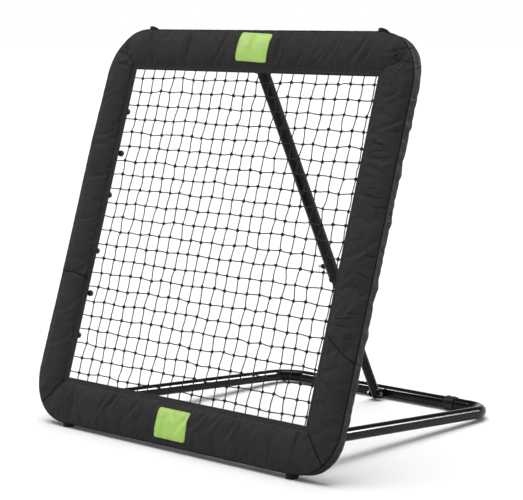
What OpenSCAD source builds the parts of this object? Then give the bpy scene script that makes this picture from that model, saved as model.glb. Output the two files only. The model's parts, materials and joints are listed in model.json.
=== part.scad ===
// Pitch back rebounder: a square padded net frame that leans back on a U-shaped base, with a
// telescopic strut behind it. Everything is in millimetres, +Z is up and the net faces -Y.

/* [Face] */
// Outer size of the square padded face
face_size = 1240; // [1000:10:1500]
// Angle that the face leans back at rest
recline = 18; // [10:1:25]
// Distance from the outer edge of the padding to the frame tube's centre-line
tube_inset = 25; // [24:1:30]
// Outer diameter of the frame tube
frame_tube_od = 38; // [32:1:40]
// Wall of all the steel tubes
tube_wall = 1.5; // [1.2:0.1:2]
// Centre-line radius of the frame's corner bends
frame_bend_r = 130; // [110:5:150]

/* [Cover] */
// Width of the padded cover, from its outer to its inner edge
cover_width = 130; // [124:1:145]
// Distance from the cover's front to the frame tube's centre
cover_front = 26; // [25:0.5:30]
// Thickness of the padding at the opening
pad_thick = 17; // [14:0.5:17]
// Width of the flat hem at the cover's inner edge
hem_width = 17; // [10:1:25]
// Thickness of the hem
hem_thick = 5; // [3:0.5:8]
// Thickness of the cloth sleeve behind the frame tube
sleeve_wall = 1.6; // [1:0.1:3]
// How far the sleeve's back flap reaches inward of the frame tube's centre
back_flap = 40; // [34:1:50]
// Thickness of the back flap
flap_thick = 10; // [8:0.5:12]
// Space between the frame tube and the padding
cover_tube_gap = 4.4; // [4.2:0.1:5]
// Height of the seam on each side where the two side covers meet
side_seam_height = 375; // [300:5:450]
// Width of the coloured patches
patch_w = 125; // [80:1:150]
// Height of the coloured patches
patch_h = 87; // [60:1:95]
// Thickness of the coloured patches
patch_thick = 0.8; // [0.4:0.1:1.5]
// Distance of a patch's middle outward from the middle of the cover
patch_shift = 9; // [0:1:12]

/* [Net] */
// Distance between two net strings
mesh_pitch = 44.6; // [30:0.1:60]
// Diameter of a net string
string_d = 3; // [2:0.1:4]
// Diameter of the rope around the net
rope_d = 7; // [5:0.5:8]
// Distance of the rope behind the cover's inner edge
rope_behind_lip = 34; // [32:1:38]
// Corner radius of the rope
rope_corner_r = 20; // [12:1:40]
// Diameter of the bungee cord
bungee_d = 3.6; // [3:0.1:3.7]
// Diameter of the bungee balls
ball_d = 20; // [16:0.5:20]
// Number of net cells from one bungee to the next
bungee_step = 3; // [2:1:5]
// How far a loose bungee's ball hangs inward of the others
loose_pull = 13; // [10:1:40]

/* [Feet] */
// Diameter of a rubber foot
foot_d = 36; // [28:1:40]
// Height of the frame tube above the ground
foot_height = 21; // [12:1:30]
// Height of the upper feet over the frame tube
top_foot_height = 10; // [8:1:24]

/* [Base] */
// Outer diameter of the base tube
base_tube_od = 38; // [32:1:40]
// Distance from the frame tube's side to the leg, centre to centre
leg_inset = 167; // [167:1:230]
// Length of the base from the leg pivots to the rear bar
base_reach = 895; // [800:5:1000]
// Centre-line radius of the base's rear bends
base_bend_r = 84; // [70:1:110]
// Distance from a rear bend to the joint in the rear bar
rear_joint_off = 70; // [66:1:140]
// Width of the collar over a rear joint
collar_w = 36; // [30:1:50]
// Thickness of the collar
collar_thick = 3; // [2:0.5:6]
// Space between the net and the leg's end
leg_net_gap = 11; // [9:0.5:20]
// Height of the leg pivot over the frame tube
leg_pivot_rise = 36; // [30:1:40]

/* [Strut] */
// Outer diameter of the strut's upper tube
strut_upper_od = 38; // [36:1:40]
// Outer diameter of the strut's lower tube
strut_lower_od = 30; // [26:1:30]
// Distance of the strut's top pivot behind the net
strut_top_back = 27; // [27:0.5:32]
// Distance of the strut's top pivot below the top tube's centre-line
strut_top_drop = 79; // [76:1:95]
// Distance of the strut's lower pivot in front of the rear bar
strut_bracket_reach = 45; // [42:1:60]
// Distance of the strut's lower pivot below the rear bar's centre-line
strut_bracket_drop = 4; // [0:0.5:5]
// Distance from the lower pivot to the upper tube's end
upper_tube_start = 448; // [430:1:480]
// Length of the lower tube above its pivot
lower_tube_len = 760; // [700:5:790]
// Distance from the upper tube's end to the lock pin
lock_from_end = 39; // [36:1:60]
// Distance between two lock holes
hole_pitch = 53.5; // [50:0.5:56]
// Number of lock holes below the resting one
holes_below = 4; // [1:1:4]
// Number of lock holes above the resting one
holes_above = 1; // [1:1:3]

/* [Brackets and fasteners] */
// Diameter of the pivot bolts
bolt_d = 8; // [6:0.5:8]
// Thickness of the bracket plates
lug_thick = 4; // [3:0.5:5]
// Play between a leg and its bracket plates
leg_lug_gap = 0.8; // [0.5:0.1:2]
// Play between the strut and its bracket plates
strut_lug_gap = 0.8; // [0.5:0.1:2]
// Radius of the bracket plates around a leg pivot or the strut's lower pivot
lug_r = 14; // [11:0.5:14]
// Radius of the bracket plates around the strut's top pivot
top_lug_r = 16; // [14:0.5:16]
// How far a tube reaches past its pivot
tube_end_past = 8; // [7:0.5:9]
// Diameter of the lock pin
lock_pin_d = 8; // [6:0.5:9]
// Length of the lock housing outside the strut
lock_housing_len = 18; // [12:1:25]
// Outer diameter of the pull ring
pull_ring_d = 25.7; // [22:0.1:32]
// Distance from the lock's housing to the pull ring's hole, with the pin out of the strut's holes
pull_ring_room = 9.5; // [9:0.1:12]

/* [Hidden] */
$fn = 48;

steel_black = "#1b1b1d";
fabric_black = "#323335";
patch_lime = "#b4d84a";
rubber_black = "#151515";
bright_steel = "#b9bcc0";

far = 2000;
cut = 1;
seat_gap = 0.05;
run_gap = 0.05;
body_gap = 0.3;
seam_gap = 0.3;

// Frame, in its own space: x across, y backward from the net, z up along the face
frame_r = frame_tube_od / 2;
frame_half = face_size / 2 - tube_inset;
bend_start = frame_half - frame_bend_r;
frame_top = 2 * frame_half;
frame_z = (frame_r + foot_height) * cos(recline);
foot_r = foot_d / 2;
foot_x = bend_start - 2;
foot_saddle = 6;
splice_len = 160;
splice_screw_off = 30;
splice_wall = 2;

// Cover and net
open_half = face_size / 2 - cover_width;
lip_gap = cover_front - pad_thick;
cover_bore_r = frame_r + cover_tube_gap;
sleeve_r = cover_bore_r + sleeve_wall;
cover_corner_r = frame_bend_r + tube_inset;
lip_inset = frame_half - open_half;
rope_r = rope_d / 2;
rope_half = open_half + rope_behind_lip;
net_lines = round(2 * open_half / mesh_pitch);
ball_r = ball_d / 2;
ball_at = rope_half - rope_r - ball_r - body_gap;
bungee_r = bungee_d / 2;
bungee_first = (net_lines % 2 == 0 ? 2 : 1.5) * mesh_pitch;
bungee_count = floor((bend_start - bungee_first) / (bungee_step * mesh_pitch)) + 1;
bungee_places = [for (s = [-1, 1], k = [0:bungee_count - 1])
    s * (bungee_first + k * bungee_step * mesh_pitch)];
loose_place = bungee_first + bungee_step * mesh_pitch;

// Leg pivots, in the frame's space
base_r = base_tube_od / 2;
leg_x = frame_half - leg_inset;
leg_pivot_n = base_r + leg_net_gap;
leg_pivot_v = frame_r + leg_pivot_rise;

// Points of the side view, as [y, z], before the part is centred
function frame_pt(n, v) =
    [n * cos(recline) + v * sin(recline), frame_z - n * sin(recline) + v * cos(recline)];
leg_pivot = frame_pt(leg_pivot_n, leg_pivot_v);
collar_r = base_r + collar_thick;
slope = asin((leg_pivot[1] - collar_r) / base_reach);
rear_bar_y = leg_pivot[0] + base_reach * cos(slope);
front_y = -(cover_front * cos(recline) + tube_inset * sin(recline));
centre_y = (front_y + rear_bar_y + collar_r) / 2;

// Strut, in its own space: z runs from the lower pivot to the top pivot
strut_bottom = [rear_bar_y - strut_bracket_reach * cos(slope) - strut_bracket_drop * sin(slope),
    collar_r + strut_bracket_reach * sin(slope) - strut_bracket_drop * cos(slope)];
strut_top = frame_pt(strut_top_back, frame_top - strut_top_drop);
strut_run = strut_bottom[0] - strut_top[0];
strut_rise = strut_top[1] - strut_bottom[1];
strut_len = sqrt(strut_run * strut_run + strut_rise * strut_rise);
lean = atan2(strut_run, strut_rise);
upper_r = strut_upper_od / 2;
upper_bore_r = upper_r - tube_wall;
lower_r = strut_lower_od / 2;
lock_at = upper_tube_start + lock_from_end;
lock_pin_r = lock_pin_d / 2;
lock_hole_r = lock_pin_r + 0.25;
lock_housing_r = lock_pin_r + 4;
lock_housing_x = upper_r + lock_housing_len;
lock_pin_tip = lower_r + body_gap;
ring_hole_x = lock_housing_x + pull_ring_room;
pull_wire_r = 1.1;
pull_ring_r = pull_ring_d / 2 - pull_wire_r;
ring_hole_r = pull_wire_r + 0.9;
bush_len = 26;
bush_flange_w = 5;
slide_ring_len = 25;
rivet_r = 3;
rivet_at = 20;

// Fasteners
bolt_r = bolt_d / 2;
bolt_bore_r = bolt_r + run_gap;
hex_r = bolt_r * 1.88;
bolt_head_h = bolt_r * 1.32;
nut_h = bolt_r * 1.62;
screw_r = 2.5;
screw_head_r = 4.5;
screw_head_h = 2;
leg_lug_x = base_r + leg_lug_gap;
top_lug_x = upper_r + strut_lug_gap;
rear_lug_x = lower_r + strut_lug_gap;
slot_r = bolt_r + 2.5;
slot_shift = 1.6;
notch_room = 3;
leg_notch = leg_lug_x + lug_thick + nut_h + bolt_r + notch_room;
strut_notch = top_lug_x + lug_thick + body_gap + nut_h + bolt_r + notch_room;
notch_front = 4;
notch_start = 5;
joint_x = leg_x - base_bend_r - rear_joint_off;
joint_screw_off = collar_w / 4 + 1;
base_splice_len = 120;

// Spaces of the frame, the base and the strut
module in_frame() {
    translate([0, -centre_y, frame_z]) rotate([-recline, 0, 0]) children();
}

module in_face() {
    in_frame() translate([0, 0, frame_half]) children();
}

module in_base() {
    translate([0, rear_bar_y - centre_y, collar_r]) rotate([-slope, 0, 0]) children();
}

module in_strut() {
    translate([0, strut_bottom[0] - centre_y, strut_bottom[1]]) rotate([lean, 0, 0]) children();
}

// General shapes
module rod_x(r, x0, x1) {
    translate([x0, 0, 0]) rotate([0, 90, 0]) cylinder(h = x1 - x0, r = r);
}

module rod_y(r, y0, y1) {
    translate([0, y1, 0]) rotate([90, 0, 0]) cylinder(h = y1 - y0, r = r);
}

module plate_yz(x0, x1) {
    translate([x0, 0, 0]) rotate([90, 0, 90]) linear_extrude(x1 - x0) children();
}

module quarter_turn() {
    rotate([90, 0, 0]) rotate_extrude(angle = 90) children();
}

module rounded_square(half_x, half_y, r) {
    square([2 * half_x, 2 * (half_y - r)], center = true);
    square([2 * (half_x - r), 2 * half_y], center = true);
    for (sx = [-1, 1], sy = [-1, 1])
        translate([sx * (half_x - r), sy * (half_y - r)]) circle(r);
}

module hex_bolt(grip) {
    rod_x(bolt_r, 0, grip + nut_h + bolt_r);
    rotate([0, -90, 0]) cylinder(h = bolt_head_h, r = hex_r, $fn = 6);
}

module hex_nut() {
    difference() {
        rotate([0, 90, 0]) cylinder(h = nut_h, r = hex_r, $fn = 6);
        rod_x(bolt_bore_r, -cut, nut_h + cut);
    }
}

// Domed plug in a tube's end: the tube runs along -z and its pivot bolt is at the origin
module end_plug(tube_r, depth) {
    dome_r = sqrt(tube_r * tube_r + tube_end_past * tube_end_past);
    difference() {
        union() {
            translate([0, 0, -depth])
                cylinder(h = depth + tube_end_past, r = tube_r - tube_wall - seat_gap);
            intersection() {
                sphere(dome_r);
                translate([0, 0, tube_end_past]) cylinder(h = dome_r, r = tube_r);
            }
        }
        rod_x(bolt_bore_r, -dome_r - cut, dome_r + cut);
    }
}

// Bracket plate from a tube at the origin to a pivot, with a round end about the pivot and a
// neck that is a little narrower
module lug_profile(pivot, tube_r, end_r) {
    neck = end_r - 1;
    difference() {
        union() {
            translate(pivot) circle(end_r);
            rotate(atan2(pivot[1], pivot[0])) translate([0, -neck]) square([norm(pivot), 2 * neck]);
        }
        circle(tube_r + seat_gap);
        children();
    }
}

// Small round-headed screw along x, with its head's seat at the origin and its point at -x
module screw(depth) {
    rod_x(screw_r, -depth, 0);
    rod_x(screw_head_r, 0, screw_head_h);
}

// Half of the frame tube's path, upward from the frame's middle
module half_frame_path(r, overrun) {
    for (s = [0, 1]) mirror([s, 0, 0]) {
        translate([frame_half, 0, -overrun]) cylinder(h = bend_start + overrun, r = r);
        translate([bend_start, 0, bend_start]) quarter_turn() translate([frame_bend_r, 0]) circle(r);
    }
    translate([0, 0, frame_half]) rod_x(r, -bend_start, bend_start);
}

module splice_screw_places() {
    for (s = [-1, 1], t = [-1, 1])
        translate([s * frame_half, frame_r, t * splice_screw_off]) rotate([0, 0, 90]) children();
}

module half_frame_tube() {
    difference() {
        half_frame_path(frame_r, 0);
        half_frame_path(frame_r - tube_wall, cut);
        splice_screw_places() rod_x(screw_r + seat_gap, -frame_r, cut);
    }
}

module upper_frame_tube() {
    color(steel_black) in_face() half_frame_tube();
}

module lower_frame_tube() {
    color(steel_black) in_face() mirror([0, 0, 1]) half_frame_tube();
}

module frame_splice(side) {
    outer_r = frame_r - tube_wall - seat_gap;
    color(steel_black) in_face() difference() {
        translate([side * frame_half, 0, -splice_len / 2]) cylinder(h = splice_len, r = outer_r);
        translate([side * frame_half, 0, -splice_len / 2 - cut])
            cylinder(h = splice_len + 2 * cut, r = outer_r - splice_wall);
        splice_screw_places() rod_x(screw_r + seat_gap, -frame_r, cut);
    }
}

module frame_splice_left() {
    frame_splice(-1);
}

module frame_splice_right() {
    frame_splice(1);
}

module splice_screws() {
    color(bright_steel) in_face() splice_screw_places()
        translate([seat_gap, 0, 0]) screw(tube_wall + splice_wall + 4);
}

// Cover: one mitred side, drawn as the bottom one about the face's middle
module slot_profile(near, away) {
    polygon([[near, -lip_gap], [away, -cover_bore_r], [away, cover_bore_r], [near, lip_gap]]);
}

module cover_tunnel() {
    translate([0, 0, -frame_half]) {
        rod_x(cover_bore_r, -bend_start, bend_start);
        rotate([0, 0, 90]) rotate([90, 0, 0]) translate([0, 0, -bend_start])
            linear_extrude(2 * bend_start)
                polygon([[-cover_bore_r, 0], [-lip_gap, lip_inset], [lip_gap, lip_inset], [cover_bore_r, 0]]);
    }
    for (s = [0, 1]) mirror([s, 0, 0]) mirror([0, 0, 1]) translate([bend_start, 0, bend_start])
        quarter_turn() {
            translate([frame_bend_r, 0]) circle(cover_bore_r);
            slot_profile(open_half - bend_start, frame_bend_r);
        }
}

// Flat square ring around the opening, from one depth behind the net's plane to another
module face_ring(front, back, outer, corner_r, inner) {
    translate([0, back, 0]) rotate([90, 0, 0]) linear_extrude(back - front) difference() {
        rounded_square(outer, outer, corner_r);
        square(2 * inner, center = true);
    }
}

module cover_sleeve() {
    translate([0, 0, -frame_half]) rod_x(sleeve_r, -bend_start, bend_start);
    for (s = [0, 1]) mirror([s, 0, 0]) mirror([0, 0, 1]) translate([bend_start, 0, bend_start])
        quarter_turn() translate([frame_bend_r, 0]) circle(sleeve_r);
}

module mitre_wedge() {
    seam = seam_gap / sqrt(2);
    translate([0, face_size / 2, 0]) rotate([90, 0, 0]) linear_extrude(face_size)
        polygon([[0, -seam], [-face_size, -seam - face_size], [face_size, -seam - face_size]]);
}

module hem_relief() {
    step_half = open_half + hem_width;
    translate([-step_half, -cover_front - cut, -step_half])
        cube([2 * step_half, pad_thick - hem_thick + cut, 2 * step_half]);
}

module cover_side() {
    flap_back = sleeve_r - sleeve_wall / 2;
    difference() {
        intersection() {
            union() {
                face_ring(-cover_front, -lip_gap, face_size / 2, cover_corner_r, open_half);
                face_ring(flap_back - flap_thick, flap_back, frame_half, frame_bend_r, frame_half - back_flap);
                cover_sleeve();
            }
            mitre_wedge();
        }
        cover_tunnel();
        hem_relief();
    }
}

module foot_holes() {
    for (s = [-1, 1]) translate([s * foot_x, 0, -face_size])
        cylinder(h = face_size - frame_half, r = foot_r + body_gap);
}

// Notch in a cover's back flap, drawn in the bottom cover, where a bracket comes through
module back_notch(x, half_w) {
    translate([x - half_w, notch_front, -frame_half + notch_start])
        cube([2 * half_w, 2 * sleeve_r, cover_width]);
}

module cover_top() {
    color(fabric_black) in_face() rotate([0, 180, 0]) difference() {
        cover_side();
        foot_holes();
        back_notch(0, strut_notch);
    }
}

module cover_bottom() {
    color(fabric_black) in_face() difference() {
        cover_side();
        foot_holes();
        for (s = [-1, 1]) back_notch(s * leg_x, leg_notch);
    }
}

// Side cover, above the side seam (up = 1) or below it (up = 0)
module side_cover(side, up) {
    seam_z = side_seam_height - frame_half;
    z0 = up == 1 ? seam_z + seam_gap / 2 : seam_z - seam_gap / 2 - far;
    color(fabric_black) in_face() intersection() {
        rotate([0, -side * 90, 0]) cover_side();
        translate([-far / 2, -far / 2, z0]) cube(far);
    }
}

module cover_left_upper() {
    side_cover(-1, 1);
}

module cover_left_lower() {
    side_cover(-1, 0);
}

module cover_right_upper() {
    side_cover(1, 1);
}

module cover_right_lower() {
    side_cover(1, 0);
}

module cover_patch(turn) {
    patch_z = -(face_size / 2 - cover_width / 2 + patch_shift);
    color(patch_lime) in_face() rotate([0, turn, 0])
        translate([0, -cover_front, patch_z])
            rotate([90, 0, 0]) linear_extrude(patch_thick) rounded_square(patch_w / 2, patch_h / 2, 6);
}

module cover_patch_top() {
    cover_patch(180);
}

module cover_patch_bottom() {
    cover_patch(0);
}

// Net, rope and bungees
module net() {
    reach = rope_half - rope_r - body_gap;
    first = -(net_lines - 1) / 2 * mesh_pitch;
    color(rubber_black) in_face() rotate([90, 0, 0]) translate([0, 0, -string_d / 2])
        linear_extrude(string_d) for (k = [0:net_lines - 1]) {
            translate([first + k * mesh_pitch, 0]) square([string_d, 2 * reach], center = true);
            translate([0, first + k * mesh_pitch]) square([2 * reach, string_d], center = true);
        }
}

module net_border_rope() {
    straight = rope_half - rope_corner_r;
    color(rubber_black) in_face() for (turn = [0:90:270]) rotate([0, turn, 0]) {
        translate([0, 0, rope_half]) rod_x(rope_r, -straight, straight);
        translate([straight, 0, straight]) quarter_turn() translate([rope_corner_r, 0]) circle(rope_r);
    }
}

// Each bungee's place on the bottom side; the loose ones are on the left side
module bungee_places() {
    for (turn = [0:90:270], x = bungee_places) {
        loose = turn == 90 && abs(abs(x) - loose_place) < mesh_pitch / 2;
        pull = loose ? loose_pull : 0;
        rotate([0, turn, 0]) translate([x, 0, -frame_half]) {
            $ball_z = frame_half - ball_at + pull;
            children();
        }
    }
}

// Cord around the tube with two straight strands, tangent to it, that meet the ball
module bungee_loop() {
    whip_r = bungee_r + 0.3;
    arc_r = frame_r + whip_r + seat_gap;
    trim = 1;
    start = arc_r * sin(trim);
    end_n = ball_r / 2;
    end_z = $ball_z - 0.8 * ball_r;
    reach = sqrt(end_n * end_n + end_z * end_z - arc_r * arc_r);
    lift = atan2(end_z, end_n) - atan2(reach, arc_r);
    difference() {
        union() {
            rotate([90, 0, 90]) rotate([0, 0, 180 - lift + trim])
                rotate_extrude(angle = 180 + 2 * (lift - trim)) translate([arc_r, 0]) circle(bungee_r);
            for (s = [-1, 1]) translate([0, s * arc_r * cos(lift), arc_r * sin(lift)]) {
                sphere(whip_r);
                rotate([s * lift, 0, 0]) translate([0, 0, start])
                    cylinder(h = reach - start, r = bungee_r);
            }
        }
        translate([0, 0, $ball_z]) sphere(ball_r + seat_gap);
    }
}

module bungee_loops() {
    color(rubber_black) in_face() bungee_places() bungee_loop();
}

module bungee_balls() {
    color(rubber_black) in_face() bungee_places() translate([0, 0, $ball_z]) sphere(ball_r);
}

// Foot under the frame tube, cut flat to the ground at rest
module foot(side, turn, height) {
    color(rubber_black) in_face() rotate([0, turn, 0]) translate([side * foot_x, 0, -frame_half])
        difference() {
            translate([0, 0, -frame_r - height - foot_d])
                cylinder(h = frame_r + height + foot_d - foot_saddle, r = foot_r);
            rod_x(frame_r + seat_gap, -foot_d, foot_d);
            translate([0, 0, -frame_r - height]) rotate([recline, 0, 0])
                translate([-foot_d, -foot_d, -far]) cube([2 * foot_d, 2 * foot_d, far]);
        }
}

module foot_bottom_left() {
    foot(-1, 0, foot_height);
}

module foot_bottom_right() {
    foot(1, 0, foot_height);
}

module foot_top_left() {
    foot(1, 180, top_foot_height);
}

module foot_top_right() {
    foot(-1, 180, top_foot_height);
}

// Brackets
module leg_lugs(side) {
    color(steel_black) in_frame() translate([side * leg_x, 0, 0]) for (s = [0, 1]) mirror([s, 0, 0])
        plate_yz(leg_lug_x, leg_lug_x + lug_thick)
            lug_profile([leg_pivot_n, leg_pivot_v], frame_r, lug_r)
                translate([leg_pivot_n, leg_pivot_v]) circle(bolt_bore_r);
}

module leg_lugs_left() {
    leg_lugs(-1);
}

module leg_lugs_right() {
    leg_lugs(1);
}

module strut_lugs() {
    pivot = [strut_top_back, -strut_top_drop];
    color(steel_black) in_frame() translate([0, 0, frame_top]) for (s = [0, 1]) mirror([s, 0, 0])
        plate_yz(top_lug_x, top_lug_x + lug_thick) lug_profile(pivot, frame_r, top_lug_r)
            translate(pivot) {
                circle(slot_r);
                translate([-slot_shift, 0]) circle(slot_r);
                translate([-slot_shift, -slot_r]) square([slot_shift, 2 * slot_r]);
            }
}

module rear_lugs() {
    pivot = [-strut_bracket_reach, -strut_bracket_drop];
    color(steel_black) in_base() for (s = [0, 1]) mirror([s, 0, 0])
        plate_yz(rear_lug_x, rear_lug_x + lug_thick) lug_profile(pivot, base_r, lug_r)
            translate(pivot) circle(bolt_bore_r);
}

// Pivot bolts and nuts
module leg_pivot_places() {
    for (s = [0, 1]) mirror([s, 0, 0]) in_frame() translate([leg_x, leg_pivot_n, leg_pivot_v])
        children();
}

module leg_pivot_bolts() {
    color(bright_steel) leg_pivot_places() translate([leg_lug_x + lug_thick, 0, 0])
        mirror([1, 0, 0]) hex_bolt(2 * (leg_lug_x + lug_thick));
}

module leg_pivot_nuts() {
    color(bright_steel) leg_pivot_places() translate([-leg_lug_x - lug_thick, 0, 0])
        mirror([1, 0, 0]) hex_nut();
}

module strut_bolt(half_grip) {
    translate([half_grip, 0, 0]) mirror([1, 0, 0]) hex_bolt(2 * half_grip);
}

module strut_nut(half_grip) {
    translate([-half_grip, 0, 0]) mirror([1, 0, 0]) hex_nut();
}

module strut_top_bolt() {
    color(bright_steel) in_strut() translate([0, 0, strut_len])
        strut_bolt(top_lug_x + lug_thick + body_gap);
}

module strut_top_nut() {
    color(bright_steel) in_strut() translate([0, 0, strut_len])
        strut_nut(top_lug_x + lug_thick + body_gap);
}

module strut_bottom_bolt() {
    color(bright_steel) in_strut() strut_bolt(rear_lug_x + lug_thick);
}

module strut_bottom_nut() {
    color(bright_steel) in_strut() strut_nut(rear_lug_x + lug_thick);
}

// Base: the right side tube, from past its pivot to the joint in the rear bar
module base_side_path(r, overrun) {
    front = base_reach + tube_end_past + overrun;
    corner = leg_x - base_bend_r;
    translate([leg_x, 0, 0]) rod_y(r, -front, -base_bend_r);
    translate([corner, -base_bend_r, 0]) rotate_extrude(angle = 90)
        translate([base_bend_r, 0]) circle(r);
    rod_x(r, joint_x - overrun, corner);
}

module joint_screw_places() {
    for (s = [-1, 1], t = [-1, 1])
        translate([s * joint_x + t * joint_screw_off, 0, collar_r]) rotate([0, -90, 0]) children();
}

module base_side_tube() {
    difference() {
        base_side_path(base_r, 0);
        base_side_path(base_r - tube_wall, cut);
        translate([0, -base_reach, 0]) rod_x(bolt_bore_r, 0, far);
        joint_screw_places() rod_x(screw_r + seat_gap, -collar_r, cut);
    }
}

module base_side_tube_right() {
    color(steel_black) in_base() base_side_tube();
}

module base_side_tube_left() {
    color(steel_black) in_base() mirror([1, 0, 0]) base_side_tube();
}

module base_rear_tube() {
    color(steel_black) in_base() difference() {
        rod_x(base_r, -joint_x, joint_x);
        rod_x(base_r - tube_wall, -joint_x - cut, joint_x + cut);
        joint_screw_places() rod_x(screw_r + seat_gap, -collar_r, cut);
    }
}

module base_ring(side, half_len, outer_r, inner_r) {
    in_base() difference() {
        rod_x(outer_r, side * joint_x - half_len, side * joint_x + half_len);
        rod_x(inner_r, side * joint_x - half_len - cut, side * joint_x + half_len + cut);
        joint_screw_places() rod_x(screw_r + seat_gap, -collar_r, cut);
    }
}

module base_splice(side) {
    splice_r = base_r - tube_wall - seat_gap;
    color(steel_black) base_ring(side, base_splice_len / 2, splice_r, splice_r - splice_wall);
}

module base_splice_left() {
    base_splice(-1);
}

module base_splice_right() {
    base_splice(1);
}

module base_joint_collar(side) {
    color(rubber_black) base_ring(side, collar_w / 2, collar_r, base_r + seat_gap);
}

module base_joint_collar_left() {
    base_joint_collar(-1);
}

module base_joint_collar_right() {
    base_joint_collar(1);
}

module base_joint_screws() {
    color(bright_steel) in_base() joint_screw_places() translate([seat_gap, 0, 0])
        screw(collar_thick + tube_wall + splice_wall + 4);
}

module leg_end_plug(side) {
    color(rubber_black) in_base() translate([side * leg_x, -base_reach, 0]) rotate([90, 0, 0])
        end_plug(base_r, 22);
}

module leg_end_plug_left() {
    leg_end_plug(-1);
}

module leg_end_plug_right() {
    leg_end_plug(1);
}

// Strut
module strut_lower_tube() {
    color(steel_black) in_strut() difference() {
        translate([0, 0, -tube_end_past]) cylinder(h = lower_tube_len + tube_end_past, r = lower_r);
        translate([0, 0, -tube_end_past - cut])
            cylinder(h = lower_tube_len + tube_end_past + 2 * cut, r = lower_r - tube_wall);
        rod_x(bolt_bore_r, -lower_r - cut, lower_r + cut);
        translate([0, 0, rivet_at]) rod_x(rivet_r + seat_gap, -lower_r - cut, lower_r + cut);
        for (k = [-holes_below:holes_above]) translate([0, 0, lock_at + k * hole_pitch])
            rod_x(lock_hole_r, -lower_r - cut, 0);
    }
}

module strut_bottom_plug() {
    color(rubber_black) in_strut() difference() {
        rotate([180, 0, 0]) end_plug(lower_r, rivet_at + 10);
        translate([0, 0, rivet_at]) rod_x(rivet_r + seat_gap, -lower_r - cut, lower_r + cut);
    }
}

module strut_plug_rivets() {
    head_x = lower_r + seat_gap;
    color(bright_steel) in_strut() translate([0, 0, rivet_at]) for (s = [0, 1]) mirror([s, 0, 0]) {
        rod_x(rivet_r, 4, head_x);
        rod_x(rivet_r + 1, head_x, head_x + 1.5);
    }
}

module strut_slide_ring() {
    color(rubber_black) in_strut() translate([0, 0, lower_tube_len - slide_ring_len]) difference() {
        cylinder(h = slide_ring_len, r = upper_bore_r - run_gap);
        translate([0, 0, -cut]) cylinder(h = slide_ring_len + 2 * cut, r = lower_r + seat_gap);
    }
}

module strut_upper_tube() {
    len = strut_len + tube_end_past - upper_tube_start;
    color(steel_black) in_strut() difference() {
        translate([0, 0, upper_tube_start]) cylinder(h = len, r = upper_r);
        translate([0, 0, upper_tube_start - cut]) cylinder(h = len + 2 * cut, r = upper_bore_r);
        translate([0, 0, strut_len]) rod_x(bolt_bore_r, -upper_r - cut, upper_r + cut);
        translate([0, 0, lock_at]) rod_x(lock_pin_r + run_gap, -upper_r - cut, 0);
    }
}

module strut_top_plug() {
    color(rubber_black) in_strut() translate([0, 0, strut_len]) end_plug(upper_r, 22);
}

module strut_bush() {
    color(rubber_black) in_strut() translate([0, 0, upper_tube_start]) difference() {
        union() {
            cylinder(h = bush_len, r = upper_bore_r - seat_gap);
            translate([0, 0, -bush_flange_w]) cylinder(h = bush_flange_w, r = upper_r + 2);
        }
        translate([0, 0, -bush_flange_w - cut])
            cylinder(h = bush_len + bush_flange_w + 2 * cut, r = lower_r + run_gap);
    }
}

module lock_housing() {
    color(steel_black) in_strut() translate([0, 0, lock_at]) difference() {
        rod_x(lock_housing_r, -lock_housing_x, 0);
        translate([0, 0, -lock_housing_r - cut])
            cylinder(h = 2 * (lock_housing_r + cut), r = upper_r + seat_gap);
        rod_x(lock_pin_r + run_gap, -lock_housing_x - cut, 0);
    }
}

module lock_pin() {
    color(bright_steel) in_strut() translate([0, 0, lock_at]) difference() {
        rod_x(lock_pin_r, -ring_hole_x - lock_pin_r - 1, -lock_pin_tip);
        translate([-ring_hole_x, 0, 0]) rod_y(ring_hole_r, -lock_pin_d, lock_pin_d);
    }
}

module lock_ring() {
    color(bright_steel) in_strut() translate([-ring_hole_x, 0, lock_at - pull_ring_r])
        rotate([0, 90, 0]) rotate_extrude() translate([pull_ring_r, 0]) circle(pull_wire_r);
}

upper_frame_tube();
lower_frame_tube();
frame_splice_left();
frame_splice_right();
splice_screws();
cover_top();
cover_bottom();
cover_left_upper();
cover_left_lower();
cover_right_upper();
cover_right_lower();
cover_patch_top();
cover_patch_bottom();
net();
net_border_rope();
bungee_loops();
bungee_balls();
foot_bottom_left();
foot_bottom_right();
foot_top_left();
foot_top_right();
leg_lugs_left();
leg_lugs_right();
strut_lugs();
leg_pivot_bolts();
leg_pivot_nuts();
leg_end_plug_left();
leg_end_plug_right();
base_side_tube_left();
base_side_tube_right();
base_rear_tube();
base_splice_left();
base_splice_right();
base_joint_collar_left();
base_joint_collar_right();
base_joint_screws();
rear_lugs();
strut_lower_tube();
strut_bottom_plug();
strut_plug_rivets();
strut_slide_ring();
strut_bottom_bolt();
strut_bottom_nut();
strut_upper_tube();
strut_top_plug();
strut_bush();
lock_housing();
strut_top_bolt();
strut_top_nut();
lock_pin();
lock_ring();
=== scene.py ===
"""Dresses the pitch back rebounder: padded cover, net, patches, seams, finishes and stage."""

import json
import math

import bmesh
import bpy
from mathutils import Matrix, Vector, noise
from mathutils.bvhtree import BVHTree


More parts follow.
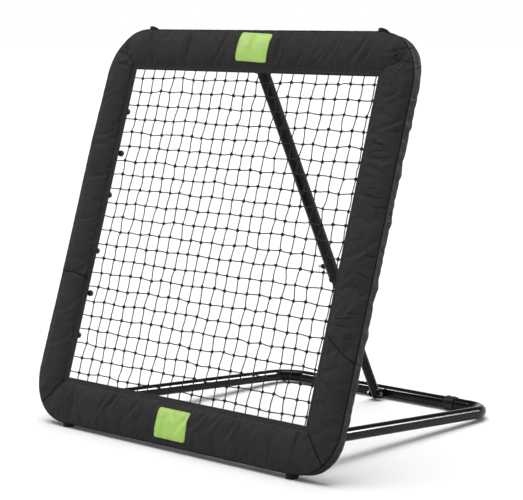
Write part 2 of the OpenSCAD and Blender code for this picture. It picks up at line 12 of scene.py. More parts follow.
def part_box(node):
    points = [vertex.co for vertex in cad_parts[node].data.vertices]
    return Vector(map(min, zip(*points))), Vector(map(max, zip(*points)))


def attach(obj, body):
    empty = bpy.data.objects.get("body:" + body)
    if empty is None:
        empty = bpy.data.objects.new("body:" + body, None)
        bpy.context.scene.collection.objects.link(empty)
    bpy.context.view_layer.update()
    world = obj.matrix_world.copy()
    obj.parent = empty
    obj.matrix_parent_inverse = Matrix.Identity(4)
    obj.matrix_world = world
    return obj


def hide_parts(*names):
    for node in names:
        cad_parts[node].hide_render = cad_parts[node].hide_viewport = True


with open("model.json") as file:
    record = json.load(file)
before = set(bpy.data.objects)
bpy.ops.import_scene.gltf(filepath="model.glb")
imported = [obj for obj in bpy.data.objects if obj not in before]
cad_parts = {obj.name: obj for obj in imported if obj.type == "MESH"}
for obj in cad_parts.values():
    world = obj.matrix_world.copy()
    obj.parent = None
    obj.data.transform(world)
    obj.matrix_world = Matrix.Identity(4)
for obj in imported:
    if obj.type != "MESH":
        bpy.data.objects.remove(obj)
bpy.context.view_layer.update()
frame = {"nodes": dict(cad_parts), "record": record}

bl_info = {
    "name": "Pitch back rebounder",
    "version": (1, 0, 0),
    "blender": (4, 5, 0),
    "location": "3D View > Sidebar > Rebounder",
    "description": "Builds the soft parts and the finishes of a pitch back rebounder",
    "category": "Add Mesh",
}

MM = 0.001
BODY = "frame"
RECLINE = math.radians(18)

# The frame tube's middle line: half of the face's width, and its corners
FRAME_HALF = 595 * MM
BEND_RADIUS = 130 * MM
BEND_START = FRAME_HALF - BEND_RADIUS

# Edges of the cover, inward from the tube's middle line
OUTER_EDGE = -25 * MM
FLAP_EDGE = 39.5 * MM
FOAM_EDGE = 88 * MM
STITCH_LINE = 97 * MM
INNER_EDGE = 105 * MM

# Levels of the cover, backward from the tube's middle line, and its sleeve's radii
FRONT = -25 * MM
FOAM_FOOT = FRONT + 5 * MM
HEM_FRONT = FRONT + 6.5 * MM
SLEEVE_INSIDE = 19.7 * MM
SLEEVE_OUTSIDE = 21.0 * MM

# Height of the seam between a side's two covers, up from the face's middle
SIDE_SEAM = -220 * MM


# Places on the leaning face: across, backward from the net, and up from the face's middle
def face_middle():
    """The middle of the net, which is the middle of the face."""
    low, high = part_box("net")
    return (Vector(low) + Vector(high)) / 2


FACE_MIDDLE = face_middle()


def face_point(across, back, up):
    c, s = math.cos(RECLINE), math.sin(RECLINE)
    return FACE_MIDDLE + Vector((across, back * c + up * s, up * c - back * s))


def smooth_step(low, high, x):
    t = min(max((x - low) / (high - low), 0), 1)
    return t * t * (3 - 2 * t)


# Node graphs
class Signal:
    """A node's output that takes part in Python arithmetic by adding Math nodes."""

    def __init__(self, graph, socket):
        self.graph = graph
        self.socket = socket

    def math(self, operation, *others):
        values = dict(enumerate((self, *others)))
        return self.graph.out("ShaderNodeMath", {"operation": operation}, values)

    def __add__(self, other):
        return self.math("ADD", other)

    def __sub__(self, other):
        return self.math("SUBTRACT", other)

    def __mul__(self, other):
        return self.math("MULTIPLY", other)

    def __truediv__(self, other):
        return self.math("DIVIDE", other)

    def __rsub__(self, other):
        return self.math("MULTIPLY", -1) + other

    __radd__ = __add__
    __rmul__ = __mul__

    def between(self, low, high, start=0.0, end=1.0):
        """This value's range low to high as start to end, with smooth ends."""
        settings = {"interpolation_type": "SMOOTHSTEP"}
        values = {"Value": self, "From Min": low, "From Max": high, "To Min": start, "To Max": end}
        return self.graph.out("ShaderNodeMapRange", settings, values)


class Graph:
    """A node tree that is filled by calls: node type, settings, then socket values or links."""

    def __init__(self, tree):
        self.tree = tree

    def node(self, kind, settings=None, values=None):
        node = self.tree.nodes.new(kind)
        for name, value in (settings or {}).items():
            setattr(node, name, value)
        for key, value in (values or {}).items():
            if isinstance(value, Signal):
                self.tree.links.new(value.socket, node.inputs[key])
            else:
                node.inputs[key].default_value = value
        return node

    def out(self, kind, settings=None, values=None, output=0):
        return Signal(self, self.node(kind, settings, values).outputs[output])

    def noise(self, place, scale, detail=2.0, distortion=0.0):
        values = {"Vector": place, "Scale": scale, "Detail": detail, "Distortion": distortion}
        return self.out("ShaderNodeTexNoise", None, values)

    def mix_color(self, factor, first, second):
        """A mix of two colours, each either three plain values or a linked colour."""
        values = {"Factor": factor, 6: rgb(first), 7: rgb(second)}
        return self.out("ShaderNodeMix", {"data_type": "RGBA"}, values, 2)

    def vector_math(self, operation, values):
        return self.out("ShaderNodeVectorMath", {"operation": operation}, values)

    def parts(self, vector):
        """A vector's three parts."""
        split = self.node("ShaderNodeSeparateXYZ", None, {0: vector})
        return [Signal(self, socket) for socket in split.outputs]

    def rays(self, *kinds):
        """One where a surface is seen by rays of one of these kinds, and zero elsewhere."""
        path = self.node("ShaderNodeLightPath")
        seen, *others = (Signal(self, path.outputs[kind]) for kind in kinds)
        for other in others:
            seen = seen.math("MAXIMUM", other)
        return seen

    def bump(self, height, distance, strength=1.0, below=None):
        values = {"Height": height, "Distance": distance, "Strength": strength}
        if below is not None:
            values["Normal"] = below
        return self.out("ShaderNodeBump", None, values)


def new_material(name, fill):
    """A material whose Principled shader gets the values and links that fill(graph) returns."""
    material = bpy.data.materials.new(name)
    material.use_nodes = True
    material.node_tree.nodes.clear()
    graph = Graph(material.node_tree)
    shader = graph.out("ShaderNodeBsdfPrincipled", None, fill(graph))
    graph.node("ShaderNodeOutputMaterial", None, {"Surface": shader})
    return material


def object_place(graph):
    return graph.out("ShaderNodeTexCoord", None, None, "Object")


def surface_place(graph):
    return graph.out("ShaderNodeTexCoord", None, None, "UV")


def rgb(color):
    """A colour socket's value; a linked colour stays as it is."""
    return color if isinstance(color, Signal) else (*color, 1.0)


def weave(graph, turn):
    """Height of a plain weave on the sewing pattern; turn is its waves' angle over one metre."""
    across, along, _ = graph.parts(surface_place(graph))
    return (across * turn).math("SINE") * (along * turn).math("SINE")


# Finishes
def powder_coat(graph):
    place = object_place(graph)
    wear = graph.noise(place, 9, 4, 0.5).between(0.45, 0.75)
    colors = bpy.context.scene.rebounder_colors
    return {
        "Base Color": graph.mix_color(wear, colors.tube, colors.tube_worn),
        "Roughness": wear * 0.06 + 0.17,
        "Normal": graph.bump(graph.noise(place, 420, 2), 0.00004),
        "Specular IOR Level": 0.15,
    }


def cover_cloth(graph):
    """Black woven cloth, crumpled all over, with tucks in the upper right cover and painted shade
    in them.
    """
    place = object_place(graph)
    crumple = graph.noise(place, 26, 4, 1.4)
    fine_crumple = graph.noise(place, 120, 3, 0.5)
    shade = graph.noise(place, 6, 3, 0.3).between(0.3, 0.7)
    colors = bpy.context.scene.rebounder_colors
    color = graph.mix_color(shade, colors.cover, colors.cover_light)
    level = graph.vector_math("MULTIPLY", {0: place, 1: (0.22, 0.22, 1.0)})
    ridge = graph.noise(level, 34, 1, 0.3) - 0.5
    line = ridge.math("ABSOLUTE").between(0.0, 0.05, 1.0, 0.0)
    aside, _, height = graph.parts(place)
    puckered = aside.between(0.5, 0.55, 0.2, 1.0) * height.between(0.34, 0.4, 0.15, 1.0)
    puckered *= graph.noise(place, 13, 1).between(0.5, 0.62)
    tuck_and_painted_shade = line * puckered
    # Painted shade: along the tuck lines the cloth is mixed toward near black, as the shade in
    # their creases
    color = graph.mix_color(tuck_and_painted_shade * 0.7, color, (0.003, 0.003, 0.003))
    tucks = graph.bump(1 - tuck_and_painted_shade, 0.003, 0.8)
    folds = graph.bump(crumple, 0.0012, 0.5, tucks)
    creases = graph.bump(fine_crumple, 0.0003, 0.5, folds)
    return {
        "Base Color": color,
        "Roughness": fine_crumple.between(0.3, 0.7, 0.6, 0.7),
        "Normal": graph.bump(weave(graph, 4200), 0.00012, 0.6, creases),
        "Specular IOR Level": 0.13,
    }


# Nearly black tape of the piping and the end seams, painted darker than the cloth as painted shade
# along the seams
def binding_tape_with_painted_shade(graph):
    grain = graph.noise(object_place(graph), 1100, 2, 0.5)
    return {
        "Base Color": graph.mix_color(grain, (0.002, 0.002, 0.003), (0.007, 0.007, 0.008)),
        "Roughness": grain * 0.2 + 0.6,
        "Normal": graph.bump(grain, 0.0003, 0.6),
        "Specular IOR Level": 0.1,
    }


def patch_cloth(graph):
    shade = graph.noise(object_place(graph), 40, 3, 0.6).between(0.3, 0.75)
    colors = bpy.context.scene.rebounder_colors
    return {
        "Base Color": graph.mix_color(shade, colors.patch, colors.patch_light),
        "Roughness": shade * 0.1 + 0.45,
        "Normal": graph.bump(weave(graph, 5200), 0.0001, 0.5, graph.bump(shade, 0.0008, 0.4)),
    }


def net_twine(graph):
    strands = graph.noise(object_place(graph), 900, 2, 1.0)
    colors = bpy.context.scene.rebounder_colors
    return {
        "Base Color": graph.mix_color(strands, colors.twine, colors.twine_light),
        "Roughness": strands * 0.2 + 0.55,
        "Normal": graph.bump(strands, 0.0005, 0.8),
        "Specular IOR Level": 0.15,
    }


def braided_cord(graph):
    values = {"Vector": object_place(graph), "Scale": 700, "Randomness": 0.55}
    braid = graph.out("ShaderNodeTexVoronoi", None, values)
    return {
        "Base Color": graph.mix_color(braid, (0.02, 0.02, 0.022), (0.006, 0.006, 0.007)),
        "Roughness": braid * 0.2 + 0.6,
        "Specular IOR Level": 0.2,
        "Normal": graph.bump(braid, 0.0006, 0.8),
    }


def foot_rubber(graph):
    place = object_place(graph)
    grain = graph.noise(place, 520, 3)
    dust = graph.noise(place, 60, 4, 0.8).between(0.5, 0.8)
    return {
        "Base Color": graph.mix_color(dust, (0.009, 0.009, 0.009), (0.024, 0.023, 0.022)),
        "Roughness": dust * 0.15 + 0.6,
        "Specular IOR Level": 0.2,
        "Normal": graph.bump(grain, 0.00025, 0.6),
    }


def moulded_plastic(graph):
    place = object_place(graph)
    grain = graph.noise(place, 800, 2)
    scuffs = graph.noise(place, 90, 4, 1.5).between(0.55, 0.8)
    return {
        "Base Color": graph.mix_color(scuffs, (0.01, 0.01, 0.01), (0.022, 0.022, 0.023)),
        "Roughness": scuffs * 0.2 + 0.36,
        "Specular IOR Level": 0.2,
        "Normal": graph.bump(grain, 0.00008, 0.6),
    }


def zinc_steel(graph):
    place = object_place(graph)
    spangle = graph.out("ShaderNodeTexVoronoi", None, {"Vector": place, "Scale": 420})
    tarnish = graph.noise(place, 70, 4, 0.7).between(0.4, 0.75)
    return {
        "Base Color": graph.mix_color(tarnish, (0.6, 0.6, 0.61), (0.42, 0.42, 0.43)),
        "Metallic": 1.0,
        "Roughness": tarnish * 0.18 + spangle * 0.08 + 0.24,
        "Normal": graph.bump(spangle, 0.00008, 0.4),
    }


def thread(dark, light):
    """The finish of a twisted thread in two tones."""

    def fill(graph):
        twist = graph.noise(object_place(graph), 2500, 1)
        return {"Base Color": graph.mix_color(twist, dark, light), "Roughness": 0.55}

    return fill


def floor_paint(graph):
    """Matt white, a little brighter where it is seen itself, so that it meets the backdrop."""
    grain = graph.noise(object_place(graph), 30, 3)
    shown = graph.rays("Is Camera Ray", "Is Glossy Ray", "Is Transmission Ray")
    return {
        "Base Color": rgb((0.9, 0.9, 0.9)),
        "Roughness": grain * 0.05 + 0.8,
        "Specular IOR Level": 0.1,
        "Emission Color": graph.mix_color(shown, (0, 0, 0), (1, 1, 1)),
        "Emission Strength": 0.02,
    }


FINISHES = {
    "black_tube": powder_coat,
    "padded_cover": cover_cloth,
    "edge_binding": binding_tape_with_painted_shade,
    "lime_patch": patch_cloth,
    "net_twine": net_twine,
    "bungee_cord": braided_cord,
    "foot_rubber": foot_rubber,
    "black_plastic": moulded_plastic,
    "bright_steel": zinc_steel,
    "sewing_thread": thread((0.02, 0.02, 0.022), (0.06, 0.06, 0.064)),
    "lime_thread": thread((0.3, 0.52, 0.1), (0.5, 0.75, 0.22)),
    "floor": floor_paint,
}


def finish(name):
    """The finish of that name, made the first time that it is asked for."""
    label = name + "_finish"
    return bpy.data.materials.get(label) or new_material(label, FINISHES[name])


# Settings that a user may change
class CoverSettings(bpy.types.PropertyGroup):
    """The padded cover."""

    crown: bpy.props.FloatProperty(
        name="Crown", description="Swell of the front", default=2.5 * MM, unit="LENGTH"
    )
    piping: bpy.props.FloatProperty(
        name="Piping", description="Radius of the piped outer seam", default=2.1 * MM, unit="LENGTH"
    )
    seam: bpy.props.FloatProperty(
        name="Seam",
        description="Radius of the cord in an end's seam",
        default=1.5 * MM,
        unit="LENGTH",
    )
    fullness: bpy.props.FloatProperty(
        name="Fullness",
        description="Extra cloth beyond the foam's size",
        default=0.018,
        subtype="FACTOR",
    )
    frames: bpy.props.IntProperty(
        name="Frames", description="Steps of the cloth simulation", default=16
    )
    freedom: bpy.props.FloatProperty(
        name="Freedom",
        description="How far the cloth may leave the foam",
        default=6 * MM,
        unit="LENGTH",
    )


class NetSettings(bpy.types.PropertyGroup):
    """The net."""

    pitch: bpy.props.FloatProperty(
        name="Pitch", description="Distance between two strings", default=44.6 * MM, unit="LENGTH"
    )
    lines: bpy.props.IntProperty(name="Lines", description="Strings each way", default=22)
    twine: bpy.props.FloatProperty(
        name="Twine", description="Radius of the twine", default=1.65 * MM, unit="LENGTH"
    )
    knot: bpy.props.FloatProperty(
        name="Knot", description="Size of a knot", default=4.3 * MM, unit="LENGTH"
    )
    slack: bpy.props.FloatProperty(
        name="Slack", description="Wander of a knot", default=3.2 * MM, unit="LENGTH"
    )


class PatchSettings(bpy.types.PropertyGroup):
    """The two patches."""

    width: bpy.props.FloatProperty(
        name="Width", description="Width of a patch", default=125 * MM, unit="LENGTH"
    )
    height: bpy.props.FloatProperty(
        name="Height", description="Height of a patch", default=87 * MM, unit="LENGTH"
    )
    corner: bpy.props.FloatProperty(
        name="Corner", description="Radius of a patch's corners", default=7 * MM, unit="LENGTH"
    )


class ColorSettings(bpy.types.PropertyGroup):
    """The colours of the main finishes, each with a lighter or worn tone."""

    tube: bpy.props.FloatVectorProperty(
        name="Tube",
        description="Powder coat of the tubes",
        default=(0.004, 0.004, 0.0045),
        subtype="COLOR",
    )
    tube_worn: bpy.props.FloatVectorProperty(
        name="Worn tube",
        description="Powder coat where it is worn",
        default=(0.008, 0.008, 0.0085),
        subtype="COLOR",
    )
    cover: bpy.props.FloatVectorProperty(
        name="Cover",
        description="Cloth of the cover",
        default=(0.0200, 0.0200, 0.0202),
        subtype="COLOR",
    )
    cover_light: bpy.props.FloatVectorProperty(
        name="Light cover",
        description="Cloth of the cover where it is lighter",
        default=(0.0246, 0.0246, 0.0248),
        subtype="COLOR",
    )
    patch: bpy.props.FloatVectorProperty(
        name="Patch",
        description="Cloth of the patches",
        default=(0.42, 0.70, 0.12),
        subtype="COLOR",
    )
    patch_light: bpy.props.FloatVectorProperty(
        name="Light patch",
        description="Cloth of the patches where it is lighter",
        default=(0.50, 0.76, 0.18),
        subtype="COLOR",
    )
    twine: bpy.props.FloatVectorProperty(
        name="Twine",
        description="Twine of the net",
        default=(0.006, 0.006, 0.007),
        subtype="COLOR",
    )
    twine_light: bpy.props.FloatVectorProperty(
        name="Light twine",
        description="Twine of the net where it is lighter",
        default=(0.02, 0.02, 0.022),
        subtype="COLOR",
    )


class StageSettings(bpy.types.PropertyGroup):
    """Camera and light."""

    azimuth: bpy.props.FloatProperty(
        name="Azimuth",
        description="Camera's turn to the right",
        default=math.radians(43.531),
        subtype="ANGLE",
    )
    elevation: bpy.props.FloatProperty(
        name="Elevation",
        description="Camera's height angle",
        default=math.radians(7.758),
        subtype="ANGLE",
    )
    roll: bpy.props.FloatProperty(
        name="Roll",
        description="Camera's tilt in its own view",
        default=math.radians(-0.407),
        subtype="ANGLE",
    )
    distance: bpy.props.FloatProperty(
        name="Distance", description="Camera's distance", default=5.311, unit="LENGTH"
    )
    aside: bpy.props.FloatProperty(
        name="Aside",
        description="View's middle right of the face's foot",
        default=0.2451,
        unit="LENGTH",
    )
    above: bpy.props.FloatProperty(
        name="Above", description="View's middle above the ground", default=0.5773, unit="LENGTH"
    )
    lens: bpy.props.FloatProperty(name="Lens", description="Focal length in mm", default=126.4)


# The scene's property that holds each group
SETTINGS = {
    "rebounder_cover": CoverSettings,
    "rebounder_net": NetSettings,
    "rebounder_patches": PatchSettings,
    "rebounder_colors": ColorSettings,
    "rebounder_stage": StageSettings,
}


# Meshes
def add_object(name, points, faces, edges=(), places=None):
    """A smooth mesh object; places is the sewing pattern's place of each point, for its UV map."""
    mesh = bpy.data.meshes.new(name)
    mesh.from_pydata([tuple(p) for p in points], list(edges), faces)
    if places:
        layer = mesh.uv_layers.new(name="pattern")
        for loop in mesh.loops:
            layer.data[loop.index].uv = places[loop.vertex_index]
    mesh.shade_smooth()
    piece = bpy.data.objects.new(name, mesh)
    bpy.context.scene.collection.objects.link(piece)
    return piece


def outward(piece):
    """Turns a closed piece's faces outward."""
    edit = bmesh.new()
    edit.from_mesh(piece.data)
    bmesh.ops.recalc_face_normals(edit, faces=edit.faces)
    edit.to_mesh(piece.data)
    edit.free()


def bake_modifiers(piece):
    """The piece's evaluated shape becomes its plain mesh."""
    depsgraph = bpy.context.evaluated_depsgraph_get()
    mesh = bpy.data.meshes.new_from_object(piece.evaluated_get(depsgraph))
    piece.modifiers.clear()
    piece.data = mesh
    return piece


def dress(piece, name):
    """Gives a piece its finish."""
    piece.data.materials.clear()
    piece.data.materials.append(finish(name))
    return piece


# Geometry node trees
def new_tree(name, inputs):
    """A geometry tree with named inputs and one geometry output."""
    tree = bpy.data.node_groups.new(name, "GeometryNodeTree")
    tree.interface.new_socket("Geometry", in_out="INPUT", socket_type="NodeSocketGeometry")
    for label, kind, value in inputs:
        socket = tree.interface.new_socket(label, in_out="INPUT", socket_type=kind)
        if value is not None:
            socket.default_value = value
    tree.interface.new_socket("Geometry", in_out="OUTPUT", socket_type="NodeSocketGeometry")
    graph = Graph(tree)
    source = graph.node("NodeGroupInput")
    given = {socket.name: Signal(graph, socket) for socket in source.outputs if socket.name}
    return tree, graph, given


def close_tree(graph, geometry, given):
    """Ends a tree with real geometry in its material."""
    real = graph.out("GeometryNodeRealizeInstances", None, {0: geometry})
    soft = graph.out("GeometryNodeSetShadeSmooth", None, {0: real})
    dressed = graph.out("GeometryNodeSetMaterial", None, {0: soft, "Material": given["Material"]})
    graph.node("NodeGroupOutput", None, {0: dressed})


def run_tree(piece, tree, values):
    """Applies a tree to a piece, with its inputs given by name."""
    modifier = piece.modifiers.new(tree.name, "NODES")
    modifier.node_group = tree
    inputs = [item for item in tree.interface.items_tree if item.in_out == "INPUT"]
    keys = {item.name: item.identifier for item in inputs}
    for name, value in values.items():
        modifier[keys[name]] = value
    return bake_modifiers(piece)


def stitch_tree():
    """Stitches along a line of edges."""
    tree, graph, given = new_tree(
        "stitch_run",
        [
            ("Spacing", "NodeSocketFloat", 7 * MM),
            ("Length", "NodeSocketFloat", 4.4 * MM),
            ("Radius", "NodeSocketFloat", 0.55 * MM),
            ("Material", "NodeSocketMaterial", None),
        ],
    )
    line = graph.out("GeometryNodeMeshToCurve", None, {0: given["Geometry"]})
    spaced = graph.out(
        "GeometryNodeResampleCurve", {"mode": "LENGTH"}, {0: line, "Length": given["Spacing"]}
    )
    stitch = graph.out(
        "GeometryNodeMeshUVSphere", None, {"Segments": 6, "Rings": 4, "Radius": given["Radius"]}
    )
    stretch = graph.out(
        "ShaderNodeCombineXYZ", None, {0: 1.0, 1: 1.0, 2: given["Length"] / (given["Radius"] * 2)}
    )
    tangent = graph.out("GeometryNodeInputTangent")
    turned = graph.out("FunctionNodeAlignRotationToVector", {"axis": "Z"}, {"Vector": tangent})
    stitches = graph.out(
        "GeometryNodeInstanceOnPoints",
        None,
        {"Points": spaced, "Instance": stitch, "Rotation": turned, "Scale": stretch},
    )
    close_tree(graph, stitches, given)
    return tree


def piping_tree():
    """A round cord along a line of edges."""
    tree, graph, given = new_tree(
        "piping_run",
        [("Radius", "NodeSocketFloat", 1.5 * MM), ("Material", "NodeSocketMaterial", None)],
    )
    line = graph.out("GeometryNodeMeshToCurve", None, {0: given["Geometry"]})
    ring = graph.out(
        "GeometryNodeCurvePrimitiveCircle", None, {"Resolution": 8, "Radius": given["Radius"]}
    )
    cord = graph.out("GeometryNodeCurveToMesh", None, {0: line, 1: ring, "Fill Caps": True})
    close_tree(graph, cord, given)
    return tree


# Half of the net's width, out to the rope in its edge, and the seed of its wandering knots
NET_REACH = 520.2 * MM
NET_SEED = 7


def net_tree():
    """A knotted net in the XY plane, whose outermost strings reach to Reach."""
    tree, graph, given = new_tree(
        "knotted_net",
        [
            ("Pitch", "NodeSocketFloat", 44.6 * MM),
            ("Lines", "NodeSocketInt", 22),
            ("Reach", "NodeSocketFloat", NET_REACH),
            ("Twine", "NodeSocketFloat", 1.4 * MM),
            ("Knot size", "NodeSocketFloat", 2.6 * MM),
            ("Slack", "NodeSocketFloat", 1.5 * MM),
            ("Seed", "NodeSocketInt", NET_SEED),
            ("Knot", "NodeSocketObject", None),
            ("Material", "NodeSocketMaterial", None),
        ],
    )
    count = given["Lines"] + 2
    side = given["Pitch"] * (given["Lines"] + 1)
    grid = graph.out(
        "GeometryNodeMeshGrid",
        None,
        {"Size X": side, "Size Y": side, "Vertices X": count, "Vertices Y": count},
    )
    place = graph.out("GeometryNodeInputPosition")
    edge = given["Pitch"] * given["Lines"] * 0.5
    stretched = []
    outermost = None
    for along in graph.parts(place)[:2]:
        past = along.math("ABSOLUTE").math("GREATER_THAN", edge)
        outermost = past if outermost is None else outermost.math("MAXIMUM", past)
        stretched.append(along.math("SIGN") * (given["Reach"] - side * 0.5) * past)
    shift = graph.out("ShaderNodeCombineXYZ", None, {0: stretched[0], 1: stretched[1], 2: 0.0})
    inner = outermost.math("LESS_THAN", 0.5)
    wander = graph.out(
        "FunctionNodeRandomValue",
        {"data_type": "FLOAT_VECTOR"},
        {"Min": (-1.0, -1.0, -0.6), "Max": (1.0, 1.0, 0.6), "Seed": given["Seed"]},
    )
    wander = graph.vector_math("SCALE", {0: wander, "Scale": given["Slack"] * inner})
    offset = graph.vector_math("ADD", {0: shift, 1: wander})
    laid = graph.out("GeometryNodeSetPosition", None, {0: grid, "Offset": offset})
    faces_beside = graph.out("GeometryNodeInputMeshEdgeNeighbors")
    string_edges = faces_beside.math("GREATER_THAN", 1.5)
    strings = graph.out("GeometryNodeMeshToCurve", None, {0: laid, "Selection": string_edges})
    bent = graph.out("GeometryNodeSubdivideCurve", None, {0: strings, "Cuts": 3})
    sway = graph.out(
        "ShaderNodeTexNoise", None, {"Vector": place, "Scale": 26.0, "Detail": 1.0}, "Color"
    )
    sway = graph.vector_math("SUBTRACT", {0: sway, 1: (0.5, 0.5, 0.5)})
    sway = graph.vector_math("SCALE", {0: sway, "Scale": given["Slack"] * 2.2})
    bent = graph.out("GeometryNodeSetPosition", None, {0: bent, "Offset": sway})
    ring = graph.out(
        "GeometryNodeCurvePrimitiveCircle", None, {"Resolution": 6, "Radius": given["Twine"]}
    )
    twine = graph.out("GeometryNodeCurveToMesh", None, {0: bent, 1: ring})
    knot = graph.out("GeometryNodeObjectInfo", None, {"Object": given["Knot"]}, "Geometry")
    turn = graph.out(
        "FunctionNodeRandomValue",
        {"data_type": "FLOAT_VECTOR"},
        {"Min": (-0.5, -0.5, -3.1), "Max": (0.5, 0.5, 3.1), "Seed": given["Seed"]},
    )
    swayed = graph.out("GeometryNodeSetPosition", None, {0: laid, "Offset": sway})
    knots = graph.out(
        "GeometryNodeInstanceOnPoints",
        None,
        {
            "Points": swayed,
            "Selection": inner,
            "Instance": knot,
            "Rotation": turn,
            "Scale": graph.out(
                "ShaderNodeCombineXYZ",
                None,
                {0: given["Knot size"], 1: given["Knot size"], 2: given["Knot size"]},
            ),
        },
    )
    joined = graph.node("GeometryNodeJoinGeometry")
    for part in (twine, knots):
        graph.tree.links.new(part.socket, joined.inputs[0])
    close_tree(graph, Signal(graph, joined.outputs[0]), given)
    return tree


# Padded cover
def arc(center, radius, start, end, steps):
    """Points of an arc, with angles in degrees, in the section's plane of depth and back."""
    points = []
    for k in range(steps + 1):
        a = math.radians(start + (end - start) * k / steps)
        points.append((center[0] + radius * math.cos(a), center[1] + radius * math.sin(a)))
    return points


def spread(first, last, steps):
    """Points between two corners, without the corners themselves."""
    return [
        tuple(a + (b - a) * k / steps for a, b in zip(first, last)) for k in range(1, steps)
    ]


class Section:
    """The cover's closed section: inward and backward places, and how freely the cloth moves."""

    def __init__(self):
        self.points = []
        self.freedom = []
        self.marks = {}
        hem_back = (INNER_EDGE, HEM_FRONT + 3 * MM)
        hem_corner = (INNER_EDGE, HEM_FRONT)
        stitches = (STITCH_LINE, HEM_FRONT - 0.6 * MM)
        groove = (FOAM_EDGE + 2 * MM, FOAM_FOOT - 0.5 * MM)
        foam_round, front_round = 5 * MM, 7 * MM
        foam_middle = (FOAM_EDGE - foam_round, FOAM_FOOT)
        front_end = OUTER_EDGE + front_round
        piping = (OUTER_EDGE + 0.9 * MM, FRONT + 3.4 * MM)
        flap_end = (FLAP_EDGE, SLEEVE_OUTSIDE - 2.4 * MM)
        flap_inside = (FLAP_EDGE - 0.8 * MM, flap_end[1] - 2.6 * MM)
        # The hem along the opening, and its stitches
        self.add([hem_back, (INNER_EDGE + 0.8 * MM, HEM_FRONT + 1.5 * MM)], 0.1)
        self.add([hem_corner], 0.2)
        self.run(hem_corner, stitches, 2, 0.3)
        self.mark("stitches", stitches, 0.25)
        self.run(stitches, groove, 3, 0.3)
        self.mark("groove", groove, 0.2)
        # The padded front, and its piped outer seam
        self.add(arc(foam_middle, foam_round, -15, -90, 5), 0.7)
        self.run((foam_middle[0], FRONT), (front_end, FRONT), 17, 1.0)
        self.add(arc((front_end, FRONT + front_round), front_round, -90, -130, 2), 0.7)
        self.mark("piping", piping, 0.2)
        # The sleeve around the tube, and the flap behind it
        self.run(piping, (-SLEEVE_OUTSIDE - 0.2 * MM, -2 * MM), 4, 0.7)
        self.add(arc((0, 0), SLEEVE_OUTSIDE, 183, 88, 11), 0.4)
        self.run((1 * MM, SLEEVE_OUTSIDE), flap_end, 6, 0.3)
        self.add([flap_end, (FLAP_EDGE + 0.6 * MM, flap_end[1] - 1.4 * MM)], 0.2)
        self.outside = len(self.points)
        # Back along the inside: flap, sleeve, and the back of the foam
        self.add([flap_inside], 0)
        self.run(flap_inside, (6 * MM, SLEEVE_INSIDE - 0.6 * MM), 4, 0)
        self.add(arc((0, 0), SLEEVE_INSIDE, 75, 333, 15), 0)
        self.run((18.5 * MM, -9.2 * MM), hem_back, 6, 0)
        # Points of the flap, and of all that lies around the tube
        self.flap_rows = range(self.outside - 8, self.outside + 5)
        self.tube_rows = range(self.marks["piping"] + 4, len(self.points) - 7)
        self.directions = self.normals()

    def add(self, points, freedom):
        self.points += points
        self.freedom += [freedom] * len(points)

    def run(self, first, last, steps, freedom):
        self.add(spread(first, last, steps), freedom)

    def mark(self, name, point, freedom):
        self.marks[name] = len(self.points)
        self.add([point], freedom)

    def normals(self):
        """Unit directions out of the section at its points."""
        result = []
        for k in range(len(self.points)):
            a, b = self.points[k - 1], self.points[(k + 1) % len(self.points)]
            dx, dy = b[0] - a[0], b[1] - a[1]
            length = math.hypot(dx, dy)
            result.append((-dy / length, dx / length))
        return result

    def lengths(self):
        """Distance of each point along the section, for the sewing pattern."""
        result = [0.0]
        for a, b in zip(self.points, self.points[1:]):
            result.append(result[-1] + math.hypot(b[0] - a[0], b[1] - a[1]))
        return result


SECTION = Section()


def side_stations(step, extra=()):
    """Places along one side, as (distance along the straight, turn angle), mitre to mitre."""
    turns = 20
    # Closer together toward the mitre, where the crease is
    corner = [math.radians(45) * (1 - (1 - k / turns) ** 1.7) for k in range(1, turns + 1)]
    count = round(2 * BEND_START / step)
    straight = [-BEND_START + 2 * BEND_START * k / count for k in range(count + 1)]
    straight = [x for x in straight if all(abs(x - other) > 1.5 * MM for other in extra)]
    stations = [(-BEND_START, -a) for a in reversed(corner)]
    stations += [(x, 0.0) for x in sorted([*straight, *extra])]
    stations += [(BEND_START, a) for a in corner]
    return stations


def along_side(station, inward):
    """The flat place (along, outward from the face's middle) of a station at a depth."""
    x, turn = station
    radius = BEND_RADIUS - inward
    square = smooth_step(45 * MM, 100 * MM, inward)
    radius *= 1 + square * (1 / math.cos(turn) - 1)
    return x + radius * math.sin(turn), BEND_START + radius * math.cos(turn)


def station_length(station):
    """Distance along the outer part of a side, used for seams and for the sewing pattern."""
    x, turn = station
    return x + turn * (BEND_RADIUS - OUTER_EDGE)


# Turn of each side from the bottom one, as (across, up) of (along, outward)
SIDES = {
    "bottom": lambda along, outward: (along, -outward),
    "right": lambda along, outward: (outward, along),
    "top": lambda along, outward: (-along, outward),
    "left": lambda along, outward: (-outward, -along),
}

# Where bungee loops go around the tube, on each half of a side, and how they lift the sleeve
LOOP_PLACES = (89.2 * MM, 223 * MM, 356.8 * MM)
LOOP_LIFT = 2.6 * MM
LOOP_WIDTH = 14 * MM
SLEEVE_WAVES = 1.8 * MM

# Shift to the right, by height in mm: the left cover's front edge, and the right cover's sleeve
LEFT_EDGE = (
    (-480, -5), (-350, -3.5), (-250, -1), (-100, 0), (250, 0), (330, 3), (400, 6), (480, 8),
)
RIGHT_EDGE = ((-420, 0.5), (-200, 0), (0, 0), (200, 0.5), (300, 1.5), (400, 3), (480, 4))

# Which way a side's stations run, and the extra ones beside its seam, in mm above it
PADS_UPWARD = {"bottom": 1, "right": 1, "top": 1, "left": -1}
SEAM_ROWS = (-9, -6, -3, 0, 2, 4, 7, 10, 14)

# The overlap of a side's two covers: the upper one's lift, and the lower one's drop under it
SEAM_OVERLAP = 14 * MM
LAP_LIFT = 1.8 * MM
LAP_DROP = 3.0 * MM

